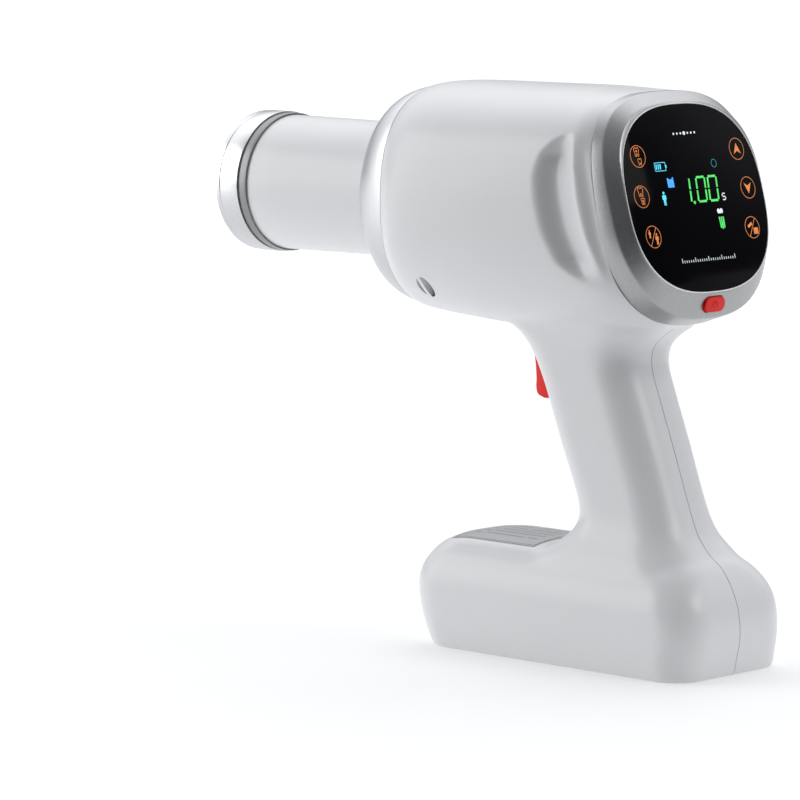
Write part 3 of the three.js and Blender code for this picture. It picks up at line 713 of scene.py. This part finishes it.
def cell_finish(name):
    """Shrink-wrapped lithium cell: glossy sleeve, faint wrinkles, bare metal at the ends."""
    made = Finish(name, (0.03, 0.16, 0.42), 0.28, Coat_Weight=0.3)
    wrinkles = made.noise(160, 3, stretch=(0.4, 3, 3))
    made.tint(wrinkles, 0.12)
    made.set("Roughness", 0.24 + wrinkles * 0.12)
    made.bump(wrinkles, 0.15, 0.1)
    return made.material


def cast_lead(name):
    made = Finish(name, (0.20, 0.21, 0.225), 0.55, 0.7)
    skin_marks = made.noise(120, 5)
    made.tint(skin_marks, 0.2)
    made.set("Roughness", 0.45 + skin_marks * 0.25)
    made.bump(skin_marks, 0.3, 0.15)
    return made.material


def tube_glass(name):
    made = Finish(name, (0.85, 0.93, 0.94), 0.04, Transmission_Weight=0.9, IOR=1.47)
    made.set("Roughness", 0.03 + made.noise(40, 2) * 0.04)
    made.bump(made.noise(70, 2), 0.05, 0.1)
    return made.material


def screen_finish(name):
    """Black touch glass with a trace of handling."""
    made = Finish(name, (0.004, 0.004, 0.005), 0.06, IOR=1.5, Specular_IOR_Level=0.03)
    smears = made.noise(46, 4, stretch=(1, 1, 2.2))
    made.tint(smears, 0.2)
    made.set("Roughness", 0.05 + smears * 0.07)
    made.bump(made.noise(30, 1), 0.01, 0.1)
    return made.material


def glow(name, colour, strength):
    """Lit print behind the glass, a little uneven as its light guide is."""
    made = Finish(name, tuple(0.4 * c for c in colour), 0.3, Emission_Strength=strength)
    uneven = made.noise(420, 2)
    faint = tuple(0.72 * c for c in colour)
    made.set("Emission Color", made.mix(made.range(uneven, 0.3, 0.7), faint, colour))
    made.set("Roughness", 0.25 + uneven * 0.1)
    return made.material


def label_finish(name):
    """Grey printed film: a thin dark frame and plain rows, without any words."""
    made = Finish(name, (0.42, 0.43, 0.45), 0.4, Coat_Weight=0.15)
    x, y, _ = made.axes()
    low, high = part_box("rating_label")
    middle, half_long, half_wide = (low.x + high.x) / 2, (high.x - low.x) / 2, high.y
    inset, line, soft_edge = 0.0007, 0.00045, 0.00012
    row_pitch, row_share = 0.0056, 0.09
    print_at, print_long, print_wide = 0.022, 0.019, 0.0165

    def field(gap):
        """White inside the label's outline, drawn in by a gap."""
        across = made.range(abs(y), half_wide - gap - soft_edge, half_wide - gap, 1, 0)
        along = made.range(abs(x - middle), half_long - gap - soft_edge, half_long - gap, 1, 0)
        return across * along

    border = field(inset) - field(inset + line)
    rows = abs(((y + 0.1) / row_pitch).fraction() - 0.5) < row_share
    inside = (abs(x - print_at) < print_long) * (abs(y) < print_wide)
    breaks = made.noise(260, 0, stretch=(1, 0.15, 1)) > 0.42
    ink = border + rows * inside * breaks * 0.75
    paper = made.mix(made.noise(60, 3), (0.40, 0.405, 0.415), (0.45, 0.455, 0.465))
    made.set("Base Color", made.mix(ink, paper, (0.05, 0.05, 0.055)))
    made.set("Roughness", 0.36 + made.noise(200, 2) * 0.1)
    made.bump(made.noise(900, 2) + ink, 0.05, 0.03)
    return made.material


WHITE = moulded("white_abs", (0.77, 0.775, 0.79), 0.32, coat=0.05)
PEARL = metal_paint("pearl_silver_paint", (0.60, 0.61, 0.625), 0.32, 0.7, 0.05)
SILVER = metal_paint("silver_paint", (0.37, 0.374, 0.38), 0.36, 0.85, 0.14)
# Dark grey for the white step behind the tip band: painted shadow of the band's rear lip.
STEP_SHADOW_GREY = metal_paint("painted_step_shadow", (0.26, 0.262, 0.266), 0.4, 0.5, 0.05)
SATIN = turned_metal("satin_turned_metal", (0.60, 0.605, 0.615), 0.27)
BLASTED = blasted_metal("bead_blasted_metal", (0.38, 0.384, 0.392), 0.5)
# Near-white paint for the glass rim: a painted highlight of the frame's inner edge.
RIM_HIGHLIGHT = metal_paint("painted_rim_highlight", (0.92, 0.925, 0.93), 0.45, 0.35, 0.02)
GLASS = screen_finish("black_touch_glass")
RED = moulded("red_gloss_plastic", (0.80, 0.010, 0.006), 0.34, grain=0.015, coat=0.05, gloss=0.25)
BLACK = moulded("black_plastic", (0.018, 0.018, 0.020), 0.45, grain=0.06)
STEEL = steel_finish("bright_steel", (0.52, 0.53, 0.54), 0.3)
BOARD = board_finish("green_circuit_board")
COPPER = wound_copper("wound_copper_wire")
LEAD = cast_lead("cast_lead")
TUBE_GLASS = tube_glass("x_ray_tube_glass")
CELL = cell_finish("cell_sleeve")
LABEL = label_finish("printed_label_film")
ORANGE_GLOW = glow("amber_touch_marks", (0.92, 0.30, 0.085), 0.72)
CYAN_GLOW = glow("cyan_marks", (0.10, 0.72, 0.95), 1.1)
BLUE_GLOW = glow("blue_marks", (0.05, 0.32, 1.0), 1.4)
GREEN_GLOW = glow("green_digits", (0.10, 0.85, 0.16), 0.95)
WHITE_GLOW = glow("white_marks", (0.80, 0.88, 0.95), 1.0)
TEAL_GLOW = glow("dim_teal_marks", (0.03, 0.28, 0.32), 0.8)


def fit(piece, slot, finish, *nodes, body="housing"):
    """Gives a piece its finish, its body and the frame nodes that it stands for."""
    piece.data.materials.clear()
    piece.data.materials.append(finish)
    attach(piece, body)
    if nodes:
        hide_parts(*nodes)
    return piece


# ---------------------------------------------------------------- nose, cone and tip
def nose_shoulder():
    stations = [[NOSE_X - 0.35, 1, 0], [-34, 0.985, 0], [-40, 0.945, 0.08], [-45, 0.88, 0.3],
                [-49, 0.78, 0.7], [-51, 0.68, 1]]
    piece = begin("nose_shoulder")
    rings = []
    for x, scale, rounding in between(stations, 3):
        rounding = min(1, max(0, rounding))
        half = scale * (43.7 + (49 - 43.7) * rounding)
        tall = scale * (51 + (49 - 51) * rounding)
        oval(half, tall, tall, (2.4 - 0.4 * rounding,) * 2, 24)
        bpy.ops.transform.translate(value=mm(x, 0, 204.3 + 0.7 * rounding))
        rings.append(keep_ring())
    bore = SLIM_R + 0.3
    for x, radius in ((-51.2, bore + 0.5), (-46, bore), (-40, 37), (NOSE_X - 0.4, 40.5)):
        rings.append(circle(x, radius, BEAM_Z))
    skin(rings, "joined")
    close()
    return soften(piece, 0.3, 40)


def aiming_cone():
    tip, shoulder, rear, wall = -HALF_LENGTH + 5, -60, -22, 2
    profile = [(tip, CONE_R - wall), (tip, CONE_R), (-110, CONE_R - 0.3), (shoulder, SLIM_R),
               (rear, SLIM_R), (rear, SLIM_R - wall), (shoulder, SLIM_R - wall)]
    return soften(turned("aiming_cone", profile, BEAM_Z, 128), 0.25, 50)


def cone_step():
    front, rear = -HALF_LENGTH + 16.5, -HALF_LENGTH + 16.5 + 4.5
    outer, bore = CONE_R + 0.8, CONE_R + 0.15
    profile = [(front, bore), (front, outer), (rear, outer), (rear, bore)]
    return soften(turned("cone_step", profile, BEAM_Z, 128), 0.25, 50)


def tip_band():
    front, rear = -HALF_LENGTH + 1.4, -HALF_LENGTH + 15.7
    outer, bore = 33.6, CONE_R + 0.3
    profile = [(front, bore), (front, outer - 0.2), (front + 2.3, outer - 0.2),
               (front + 2.5, outer - 0.35), (front + 2.8, outer - 0.35), (front + 3.0, outer),
               (rear, outer), (rear, bore)]
    return soften(turned("tip_band", profile, BEAM_Z, 128), 0.2, 30)


def tip_plate():
    x, dish, deep, rim = -HALF_LENGTH, 23.5, 5.5, CONE_R - 0.2
    hollow = [(x + deep * (1 - (i / 28) ** 2), dish * i / 28) for i in range(1, 29)]
    profile = hollow + [(x, dish + 0.6), (x, rim), (x + 4.4, rim), (x + 4.4, CONE_R - 2.3),
                        (x + 8, CONE_R - 2.3)]
    return soften(turned("tip_plate", profile, BEAM_Z, 128, "capped"), 0.5, 25)


# ---------------------------------------------------------------- display and its frame
def screen_ring(across, up, down, powers, depth, steps=24):
    """An outline on the display. Its depth may be a number or grow down the glass."""
    oval(across, up, down, powers, steps)
    for vertex in bmesh.from_edit_mesh(bpy.context.object.data).verts:
        if vertex.select:
            u, v = vertex.co.y / MM, vertex.co.z / MM
            vertex.co = on_screen(u, v, depth(v) if callable(depth) else depth) * MM
    bmesh.update_edit_mesh(bpy.context.object.data)
    return keep_ring()


FRAME_POWERS = (2.9, 2.5)
SEAM_POWERS = (3.1, 2.4)
GLASS_POWERS = (2.6, 2.6)


def display_frame():
    piece = begin("display_frame")
    rear = lambda v: seam_depth(v) + 0.15
    skin([
        screen_ring(47.0, 42.9, 42.9, GLASS_POWERS, -0.1),
        screen_ring(47.35, 43.4, 43.7, FRAME_POWERS, -0.4),
        screen_ring(47.8, 44.0, 44.8, FRAME_POWERS, -1.0),
        screen_ring(50.7, 48.8, 52.2, FRAME_POWERS, -5.3),
        screen_ring(51.0, 49.3, 52.8, FRAME_POWERS, -5.8),
        screen_ring(51.25, 49.6, 53.15, FRAME_POWERS, -6.3),
        screen_ring(51.4, 49.7, 53.3, FRAME_POWERS, -6.9),
        screen_ring(52.4, 50.4, 54, SEAM_POWERS, rear),
        screen_ring(49.8, 47.8, 51.4, SEAM_POWERS, lambda v: rear(v) + 0.2),
        screen_ring(48, 46, 49.5, FRAME_POWERS, -7.4),
        screen_ring(43.5, 39.5, 39.5, GLASS_POWERS, -4.6),
        screen_ring(43.5, 39.5, 39.5, GLASS_POWERS, -2.1),
        screen_ring(47.0, 42.9, 42.9, GLASS_POWERS, -2.1 + HAIR),
    ], "joined")
    close()
    carve(piece, button_form("button_well", 14.4, 7.6, -4, 9))
    return soften(piece, 0.25, 35)


def glass_rim():
    """Bead between the glass and its frame, painted near-white: a painted highlight of the frame's inner
    edge.
    """
    piece = begin("glass_rim")
    skin([
        screen_ring(46.35, 42.25, 42.25, GLASS_POWERS, -0.35),
        screen_ring(46.4, 42.3, 42.3, GLASS_POWERS, 0.08),
        screen_ring(46.75, 42.65, 42.65, GLASS_POWERS, 0.12),
        screen_ring(46.95, 42.85, 42.85, GLASS_POWERS, -0.1),
        screen_ring(46.95, 42.85, 42.85, GLASS_POWERS, -1.0),
        screen_ring(46.35, 42.25, 42.25, GLASS_POWERS, -1.0 + HAIR),
    ], "joined")
    close()
    return shade(piece, 50)


def touch_glass():
    piece = begin("touch_glass")
    skin([
        screen_ring(45.9, 41.8, 41.8, GLASS_POWERS, 0, 32),
        screen_ring(46.2, 42.1, 42.1, GLASS_POWERS, -0.15, 32),
        screen_ring(46.3, 42.2, 42.2, GLASS_POWERS, -0.45, 32),
        screen_ring(46.3, 42.2, 42.2, GLASS_POWERS, -1.8, 32),
    ])
    close()
    return shade(piece, 40)


BUTTON_TILT = SCREEN_TILT + math.radians(-22)
BUTTON_AT = on_screen(0, -47.6, -2.6)


def button_place(out):
    """Turns a drawing in the XY plane onto the power button, its X across and its Y up."""
    face = Vector((math.cos(BUTTON_TILT), 0, math.sin(BUTTON_TILT)))
    up = Vector((-math.sin(BUTTON_TILT), 0, math.cos(BUTTON_TILT)))
    turn = Matrix((Vector((0, 1, 0)), up, face)).transposed().to_4x4()
    return Matrix.Translation((BUTTON_AT + face * out) * MM) @ turn


def button_form(name, long, tall, low, high):
    """A stadium-shaped block on the power button's axis, between two distances from its base plane."""
    bpy.ops.object.select_all(action="DESELECT")
    bpy.ops.mesh.primitive_plane_add(size=2)
    piece = bpy.context.object
    piece.name = piece.data.name = name
    bpy.ops.object.mode_set(mode="EDIT")
    bpy.ops.transform.resize(value=(long / 2, tall / 2, 1), center_override=(0, 0, 0))
    bpy.ops.mesh.bevel(offset=tall / 2 * 0.998, segments=14, profile=0.5, affect="VERTICES")
    bpy.ops.mesh.select_all(action="SELECT")
    bpy.ops.mesh.extrude_region_move(TRANSFORM_OT_translate={"value": (0, 0, high - low)})
    bpy.ops.mesh.select_all(action="SELECT")
    bpy.ops.transform.resize(value=(MM, MM, MM), center_override=(0, 0, 0))
    outward()
    close()
    piece.matrix_world = button_place(low)
    return settle(piece)


def power_key():
    """The red button, with a raised power sign on its face."""
    face, wire = 1.2, 0.22 * MM
    piece = button_form("power_key", 13.6, 6.8, -3.0, face)
    soften(piece, 0.7, 40, 4)
    symbol = begin("power_symbol")
    bpy.ops.mesh.primitive_torus_add(major_radius=1.45 * MM, minor_radius=wire,
                                     major_segments=40, minor_segments=10)
    pick(lambda co: abs(co.x) < 0.55 * MM and co.y > 0)
    bpy.ops.mesh.delete(type="VERT")
    bpy.ops.mesh.select_all(action="SELECT")
    bpy.ops.mesh.fill_holes(sides=0)
    bpy.ops.mesh.select_all(action="DESELECT")
    bpy.ops.mesh.primitive_cylinder_add(vertices=12, radius=wire, depth=1.5 * MM,
                                        location=mm(0, 1.3, 0), rotation=(math.pi / 2, 0, 0))
    close()
    symbol.matrix_world = button_place(face)
    settle(symbol)
    shade(symbol, 50)
    return merge(piece, symbol)


# ---------------------------------------------------------------- lit marks on the glass
def plate(*points):
    """A flat mark with corners at the given places on the glass."""
    outline([mm(u, v, 0) for u, v in points])


def bar(a, b, width):
    """A straight stroke from one place on the glass to another."""
    (u0, v0), (u1, v1) = a, b
    along = math.hypot(u1 - u0, v1 - v0)
    du, dv = (v0 - v1) / along * width / 2, (u1 - u0) / along * width / 2
    plate((u0 + du, v0 + dv), (u1 + du, v1 + dv), (u1 - du, v1 - dv), (u0 - du, v0 - dv))


def dot(u, v, radius, steps=24):
    bpy.ops.mesh.select_all(action="DESELECT")
    bpy.ops.mesh.primitive_circle_add(vertices=steps, radius=radius * MM, location=mm(u, v, 0),
                                      fill_type="NGON")


def hoop(u, v, radius, width, steps=64):
    """A flat ring."""
    rings = []
    for r in (radius, radius - width):
        bpy.ops.mesh.select_all(action="DESELECT")
        bpy.ops.mesh.primitive_circle_add(vertices=steps, radius=r * MM, location=mm(u, v, 0))
        rings.append(keep_ring())
    pick_rings(*rings)
    bpy.ops.mesh.bridge_edge_loops()
    bpy.ops.object.vertex_group_remove(all=True)


def frame_box(u0, v0, u1, v1, width):
    for a, b in (((u0, v0), (u1, v0)), ((u1, v0), (u1, v1)), ((u1, v1), (u0, v1)), ((u0, v1), (u0, v0))):
        bar(a, b, width)


def tooth(u, v, size, roots=True, line=0.0):
    """A plain tooth, filled or as a line: a two-lobed crown, and two short roots."""
    points = [(-0.50, 0.30), (-0.42, 0.50), (-0.22, 0.58), (0, 0.42), (0.22, 0.58), (0.42, 0.50),
              (0.50, 0.30), (0.40, 0.02)]
    if roots:
        points += [(0.32, -0.58), (0.17, -0.58), (0, -0.14), (-0.17, -0.58), (-0.32, -0.58)]
    points += [(-0.40, 0.02)]
    points = [(u + a * size, v + b * size) for a, b in points]
    if line:
        for a, b in zip(points, points[1:] + points[:1]):
            bar(a, b, line)
    else:
        plate(*points)


def person(u, v, size):
    """A plain standing figure: a round head over a body with two legs."""
    dot(u, v + size * 0.42, size * 0.11, 16)
    plate(*[(u + a * size, v + b * size) for a, b in (
        (-0.20, 0.26), (0.20, 0.26), (0.22, -0.06), (0.13, -0.06), (0.12, -0.50), (0.02, -0.50),
        (0, -0.12), (-0.02, -0.50), (-0.12, -0.50), (-0.13, -0.06), (-0.22, -0.06))])


def lay(finish):
    """Gives the open piece's marks a thickness and lays them on the glass."""
    above, thick = 0.02, 0.03
    bpy.ops.mesh.select_all(action="SELECT")
    bpy.ops.mesh.normals_make_consistent(inside=False)
    piece = close()
    modify(piece, "SOLIDIFY", thickness=thick * MM, offset=1)
    reopen(piece)
    outward()
    close()
    piece.matrix_world = screen_place(0, 0, above)
    settle(piece)
    return fit(piece, "black_glass", finish)


def digit(u, wide, lit):
    """A seven-bar numeral, its lower left corner at u on the readout's base line."""
    base, tall, slant, stroke, gap = -2.0, 10.9, 0.09, 1.0, 0.35
    half = tall / 2

    def at(a, b):
        return (u + a + b * slant, base + b)

    bars = {
        "top": (at(gap, tall), at(wide - gap, tall)), "bottom": (at(gap, 0), at(wide - gap, 0)),
        "upper_left": (at(0, half + gap), at(0, tall - gap)),
        "upper_right": (at(wide, half + gap), at(wide, tall - gap)),
        "lower_left": (at(0, gap), at(0, half - gap)),
        "lower_right": (at(wide, gap), at(wide, half - gap)),
    }
    for name in lit:
        bar(*bars[name], stroke)


def display_marks():
    """The lit marks, one piece for each colour."""
    begin("amber_marks")
    centres = [(-33.9, 20.2), (-36.5, 2.35), (-34, -15.7), (33.9, 20.2), (36.5, 2.35), (34, -15.7)]
    for u, v in centres:
        hoop(u, v, 5, 0.27)
    tooth(-34.2, 22.2, 3.4, line=0.3)
    dot(-34.2, 22.6, 0.5)
    tooth(-33.2, 17.8, 2.5, line=0.26)
    tooth(-36.8, 4.5, 3.5, line=0.3)
    tooth(-36.2, 0.3, 2.6, line=0.26)
    dot(-36.2, 0.5, 0.45)
    for u, v in ((-34, -15.7), (34, -15.7)):
        bar((u - 2.6, v - 4.1), (u + 2.6, v + 4.1), 0.3)
    person(-36.2, -14.4, 3.6)
    person(-31.9, -16.8, 5.0)
    plate((33.9, 22.9), (36.4, 17.9), (33.9, 19.3), (31.4, 17.9))
    plate((36.5, -0.4), (39.0, 4.6), (36.5, 3.2), (34.0, 4.6))
    plate((30.9, -14.7), (33.9, -13.2), (34.3, -14.4), (31.4, -15.9))
    plate((34.5, -15.9), (37.6, -15.9), (37.6, -18.8), (34.5, -18.8))
    lay(ORANGE_GLOW)

    begin("cyan_marks")
    frame_box(-24.0, 13.0, -16.9, 16.7, 0.3)
    bar((-16.5, 14.2), (-16.5, 15.5), 0.7)
    for i in range(3):
        bar((-23.2 + 1.35 * i, 13.7), (-22.9 + 1.35 * i, 16.0), 0.75)
    person(-21.7, 0.6, 6.0)
    lay(CYAN_GLOW)

    begin("blue_marks")
    plate((-17.6, 9.6), (-16.9, 9.6), (-16.5, 9.0), (-14.4, 9.0), (-14.0, 9.8), (-13.4, 9.8),
          (-13.4, 5.3), (-17.6, 5.3))
    lay(BLUE_GLOW)

    begin("green_digits")
    both = ("upper_right", "lower_right")
    ring = ("top", "bottom", "upper_left", "lower_left", "upper_right", "lower_right")
    digit(-7.2, 3.4, both)
    digit(1.0, 5.8, ring)
    digit(9.0, 5.8, ring)
    dot(-1.9, -2.2, 0.75)
    for foot, knee in ((12.9, 12.7), (14.0, 14.0), (15.1, 15.3)):
        bar((knee, -9.6), (foot, -14.6 - 0.5 * (foot == 14.0)), 0.85)
    lay(GREEN_GLOW)

    begin("white_marks")
    for a, b in (((19.6, 0.7), (17.9, 0.7)), ((17.7, 0.5), (17.7, -0.5)), ((17.9, -0.7), (19.5, -0.7)),
                 ((19.7, -0.9), (19.7, -1.9)), ((19.5, -2.1), (17.7, -2.1))):
        bar(a, b, 0.5)
    tooth(14.0, -8.1, 4.0, False)
    for i in range(7):
        dot(-7.2 + 2.4 * i, 29.0, 0.85 if i == 3 else 0.5, 20)
    for i in range(25):
        bar((-18.0 + 1.5 * i, -28.6), (-18.0 + 1.5 * i, -26.6 if i % 6 == 0 else -27.5), 0.32)
    lay(WHITE_GLOW)

    begin("teal_marks")
    hoop(16.3, 14.6, 1.9, 0.3, 40)
    lay(TEAL_GLOW)


# ---------------------------------------------------------------- trigger
def trigger_lever():
    """The trigger, with a soft finger hollow in its front and room behind for pin and spring."""
    front = [(144.4, 31.6), (138, 32.6), (131, 33.9), (124, 34.4), (120.4, 34.3), (117, 35.6),
             (115.6, 39.4)]
    fine = [(x, z) for z, x in between([list(p) for p in front], 3)]
    points = fine + [(47, 115.9), (51.5, 119), (49, 131), (45.6, 146.5), (44, 150), (40.5, 151),
                     (37, 149.6), (34.5, 146.6)]
    piece = begin("trigger_lever")
    outline([mm(x, -8, z) for x, z in points])
    bpy.ops.mesh.extrude_region_move(TRANSFORM_OT_translate={"value": mm(0, 16, 0)})
    dips = ((0, 1.5), (2.6, 1.2), (4.6, 0.65), (6.0, 0.15))
    for y, dip in dips:
        for side in {1, -1} if y else {1}:
            bpy.ops.mesh.select_all(action="SELECT")
            bpy.ops.mesh.bisect(plane_co=mm(0, side * y, 0), plane_no=(0, 1, 0))
            pick(lambda co: abs(co.y - side * y * MM) < 1e-5 and co.z > 0.119 and co.x < 0.0352
                 and co.z < 0.1455)
            bpy.ops.transform.translate(value=mm(dip, 0, 0))
    outward()
    close()
    soften(piece, 0.7, 38, 3)
    hollow = begin("trigger_hollow")
    outline([mm(x, -5.8, z) for x, z in ((38.2, 142.5), (39.2, 131), (39.2, 120.5), (60, 120.5),
                                         (60, 142.5))])
    bpy.ops.mesh.extrude_region_move(TRANSFORM_OT_translate={"value": mm(0, 11.6, 0)})
    outward()
    close()
    room = box("spring_room", (PIVOT[0] - 4.5, -3.7, 142), (PIVOT[0] + 6.5, 3.7, 156))
    return shade(carve(piece, hollow, room, rod("pin_bore", PIVOT[0], -10, 10, PIVOT[1], 1.8, 32)))


# ---------------------------------------------------------------- label and screws
def type_label(casing_piece):
    low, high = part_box("rating_label")
    bpy.ops.object.select_all(action="DESELECT")
    bpy.ops.mesh.primitive_grid_add(x_subdivisions=60, y_subdivisions=60, size=1,
                                    location=(0.5 * (low.x + high.x), 0, 0.07))
    piece = bpy.context.object
    piece.scale = (high.x - low.x, high.y - low.y, 1)
    piece.name = piece.data.name = "type_label"
    settle(piece)
    modify(piece, "SHRINKWRAP", target=casing_piece, wrap_method="PROJECT", use_project_z=True,
           use_negative_direction=True, use_positive_direction=False, offset=0.22 * MM)
    modify(piece, "SOLIDIFY", thickness=0.15 * MM, offset=0)
    return shade(piece, 30)


def screw(number, x, z):
    """A pan-head screw with a cross recess, in its well on the far half."""
    head = turned("case_screw_head_%d" % number, [
        (0.1, 0.02), (0, 1.2), (0.5, 2.2), (1.0, 2.6), (2.0, 2.7), (2.05, 1.5), (21, 1.5), (21.6, 0.02)],
        0, 32, "open")
    reopen(head)
    for end in (0.0001, 0.0216):
        pick(lambda co: math.hypot(co.y, co.z) < 0.00004 and abs(co.x - end) < 0.0002)
        bpy.ops.mesh.merge(type="CENTER")
    outward()
    close()
    long, thin = 1.6, 0.35
    for half_y, half_z in ((long, thin), (thin, long)):
        carve(head, box("recess_tool", (-1, -half_y, -half_z), (1.1, half_y, half_z)))
    head.matrix_world = (Matrix.Translation(mm(x, SCREW_HEAD_Y, z))
                         @ Matrix.Rotation(-math.pi / 2, 4, "Z")
                         @ Matrix.Rotation(0.4 * number, 4, "X"))
    settle(head)
    head.name = "cross_screw_%d" % number
    return shade(head, 30)


# ---------------------------------------------------------------- studio and camera
DIM_SIDE = (0.67, -0.74, 0)           # the side on which the floor and the sky are dimmer


def studio():
    """A pale floor, a soft sky, two softboxes and the camera."""
    bpy.ops.object.select_all(action="DESELECT")
    bpy.ops.mesh.primitive_plane_add(size=60)
    floor = bpy.context.object
    floor.name = "studio_floor"
    made = Finish("pale_floor", (0.90, 0.905, 0.91), 0.6, Emission_Strength=0.34)
    x, y, _ = made.axes()
    near = made.range(x * DIM_SIDE[0] + y * DIM_SIDE[1], 0.39, 0.46)
    pale = made.mix(made.range(x * x + y * y, 0.2, 3.0), (0.64, 0.645, 0.65), (0.90, 0.905, 0.91))
    made.set("Base Color", made.mix(near, pale, (0.03, 0.03, 0.03)))
    made.set("Emission Color", made.mix(near, (1.0, 1.0, 1.0), (0.0, 0.0, 0.0)))
    floor.data.materials.append(made.material)

    world = bpy.data.worlds.new("studio_world")
    bpy.context.scene.world = world
    world.use_nodes = True
    nodes, links = world.node_tree.nodes, world.node_tree.links
    place = nodes.new("ShaderNodeTexCoord").outputs["Generated"]
    strength = None
    for toward, low, high, start, end in (((0, 0, 1), 0.0, 0.9, 0.05, 2.3),
                                          (DIM_SIDE, -0.6, 0.3, 1.0, 0.12)):
        along = nodes.new("ShaderNodeVectorMath")
        along.operation = "DOT_PRODUCT"
        links.new(place, along.inputs[0])
        along.inputs[1].default_value = toward
        ramp = nodes.new("ShaderNodeMapRange")
        ramp.interpolation_type = "SMOOTHSTEP"
        links.new(along.outputs["Value"], ramp.inputs["Value"])
        for name, value in (("From Min", low), ("From Max", high), ("To Min", start), ("To Max", end)):
            ramp.inputs[name].default_value = value
        if strength:
            both = nodes.new("ShaderNodeMath")
            both.operation = "MULTIPLY"
            links.new(strength, both.inputs[0])
            links.new(ramp.outputs[0], both.inputs[1])
            strength = both.outputs[0]
        else:
            strength = ramp.outputs[0]
    background = nodes["Background"]
    background.inputs["Color"].default_value = (0.96, 0.975, 1.0, 1)
    links.new(strength, background.inputs["Strength"])
    bpy.context.scene.view_settings.view_transform = "Standard"

    target = Vector((0.0, 0.0, 0.15))
    lights = [
        ("left_softbox", (-1.35, -1.25, 0.75), 1.3, 16),
        ("right_softbox", (1.6, 0.5, 1.2), 0.9, 10),
    ]
    for name, at, size, power in lights:
        aim = (target - Vector(at)).to_track_quat("-Z", "Y").to_euler()
        bpy.ops.object.light_add(type="AREA", location=at, rotation=aim)
        light = bpy.context.object
        light.name = name
        light.data.shape = "SQUARE"
        light.data.size = size
        light.data.energy = power

    at, aim_at = Vector((1.4130, -1.5539, 0.3708)), Vector((-0.05828, 0, 0.10568))
    bpy.ops.object.camera_add(location=at, rotation=(aim_at - at).to_track_quat("-Z", "Y").to_euler())
    camera = bpy.context.object
    camera.data.sensor_width = 36
    camera.data.lens = 206.12
    bpy.context.scene.camera = camera


def post_form(side, grow):
    """The post across a cord eyelet, as a block that can cut or be left standing."""
    ends = sorted((side * 20, side * 56))
    front, rear = EYELET[0] + POST[0] - grow, EYELET[0] + POST[1] + grow
    return box("post_tool", (front, ends[0], EYELET[1] - 6), (rear, ends[1], EYELET[1] + 6))


studio()
shell = casing()
label = type_label(shell)
carve(shell, box("trigger_slot_tool", *TRIGGER_SLOT))
carve(shell, box("socket_tool", *SOCKET_HOLE))
for side in (-1, 1):
    pocket = eyelet_rod("pocket_tool", side, 27, CLEAR, 4.8)
    # Black cup inside each eyelet pocket: painted shade for the pocket's dark depth, not a real lining.
    shade_cup = eyelet_rod("eyelet_painted_shade", side, 27.2, 38, 4.6)
    carve(shade_cup, eyelet_rod("hollow_tool", side, 28, CLEAR, 4.2), post_form(side, 0.1))
    fit(shade(shade_cup, 40), "black_plastic", BLACK)
    carve(pocket, post_form(side, 0))
    carve(shell, pocket)
far_half = copy_of(shell, "casing_far_half")
shell.name = shell.data.name = "casing_near_half"
for piece, side in ((shell, -1), (far_half, 1)):
    reopen(piece)
    bpy.ops.mesh.select_all(action="SELECT")
    bpy.ops.mesh.bisect(plane_co=mm(0, side * SPLIT, 0), plane_no=(0, -side, 0), use_fill=True,
                        clear_outer=True)
    close()
for x, z in SCREWS:
    carve(far_half, rod("well_tool", x, SCREW_HEAD_Y - 0.3, 70, z, 3.1, 32))
for piece in (shell, far_half):
    shade(piece, 40)
fit(shell, "white_abs", WHITE, "shell_left")
fit(far_half, "white_abs", WHITE, "shell_right")
fit(label, "label_film", LABEL, "rating_label")
fit(nose_shoulder(), "pearl_paint", PEARL, "nose_ring")
fit(aiming_cone(), "white_abs", WHITE, "cone_tube")
# The step behind the tip band gets painted shadow: dark grey in place of its white.
fit(cone_step(), "silver_paint", STEP_SHADOW_GREY, "spacer_ring")
fit(tip_band(), "satin_metal", SATIN, "cap_band")
fit(tip_plate(), "blasted_metal", BLASTED, "cap_face")
fit(display_frame(), "silver_paint", SILVER, "rear_bezel")
fit(glass_rim(), "satin_metal", RIM_HIGHLIGHT)
fit(touch_glass(), "black_glass", GLASS, "display_glass")
display_marks()
fit(power_key(), "red_plastic", RED, "power_button", body="power_button")
fit(trigger_lever(), "red_plastic", RED, "trigger", body="trigger")
for number, (x, z) in enumerate(SCREWS, 1):
    fit(screw(number, x, z), "steel", STEEL, "case_screw_%d" % number)

KEPT = {
    "black_plastic": (BLACK, ["display_module", "power_switch_stem", "power_switch", "trigger_switch",
                              "charging_socket", "transformer_core", "voltage_multiplier", "processor",
                              "buzzer", "battery_tray", "trigger_lead"]),
    "green_board": (BOARD, ["display_board", "main_board", "charge_board"]),
    "steel": (STEEL, ["trigger_pin", "trigger_spring", "cathode"]),
    "red_plastic": (RED, ["trigger_switch_plunger", "battery_lead"]),
    "satin_metal": (SATIN, ["tank_body", "tank_lid", "beam_filter"]),
    "lead": (LEAD, ["lead_liner", "collimator", "cone_liner"]),
    "clear_glass": (TUBE_GLASS, ["xray_tube_glass"]),
    "copper": (COPPER, ["anode", "transformer_coil"]),
    "cell_wrap": (CELL, ["battery_cell_%d" % i for i in range(1, 7)]),
}
for finish, names in KEPT.values():
    for name in names:
        node = frame["nodes"][name]
        for place in node.material_slots:
            place.material = finish
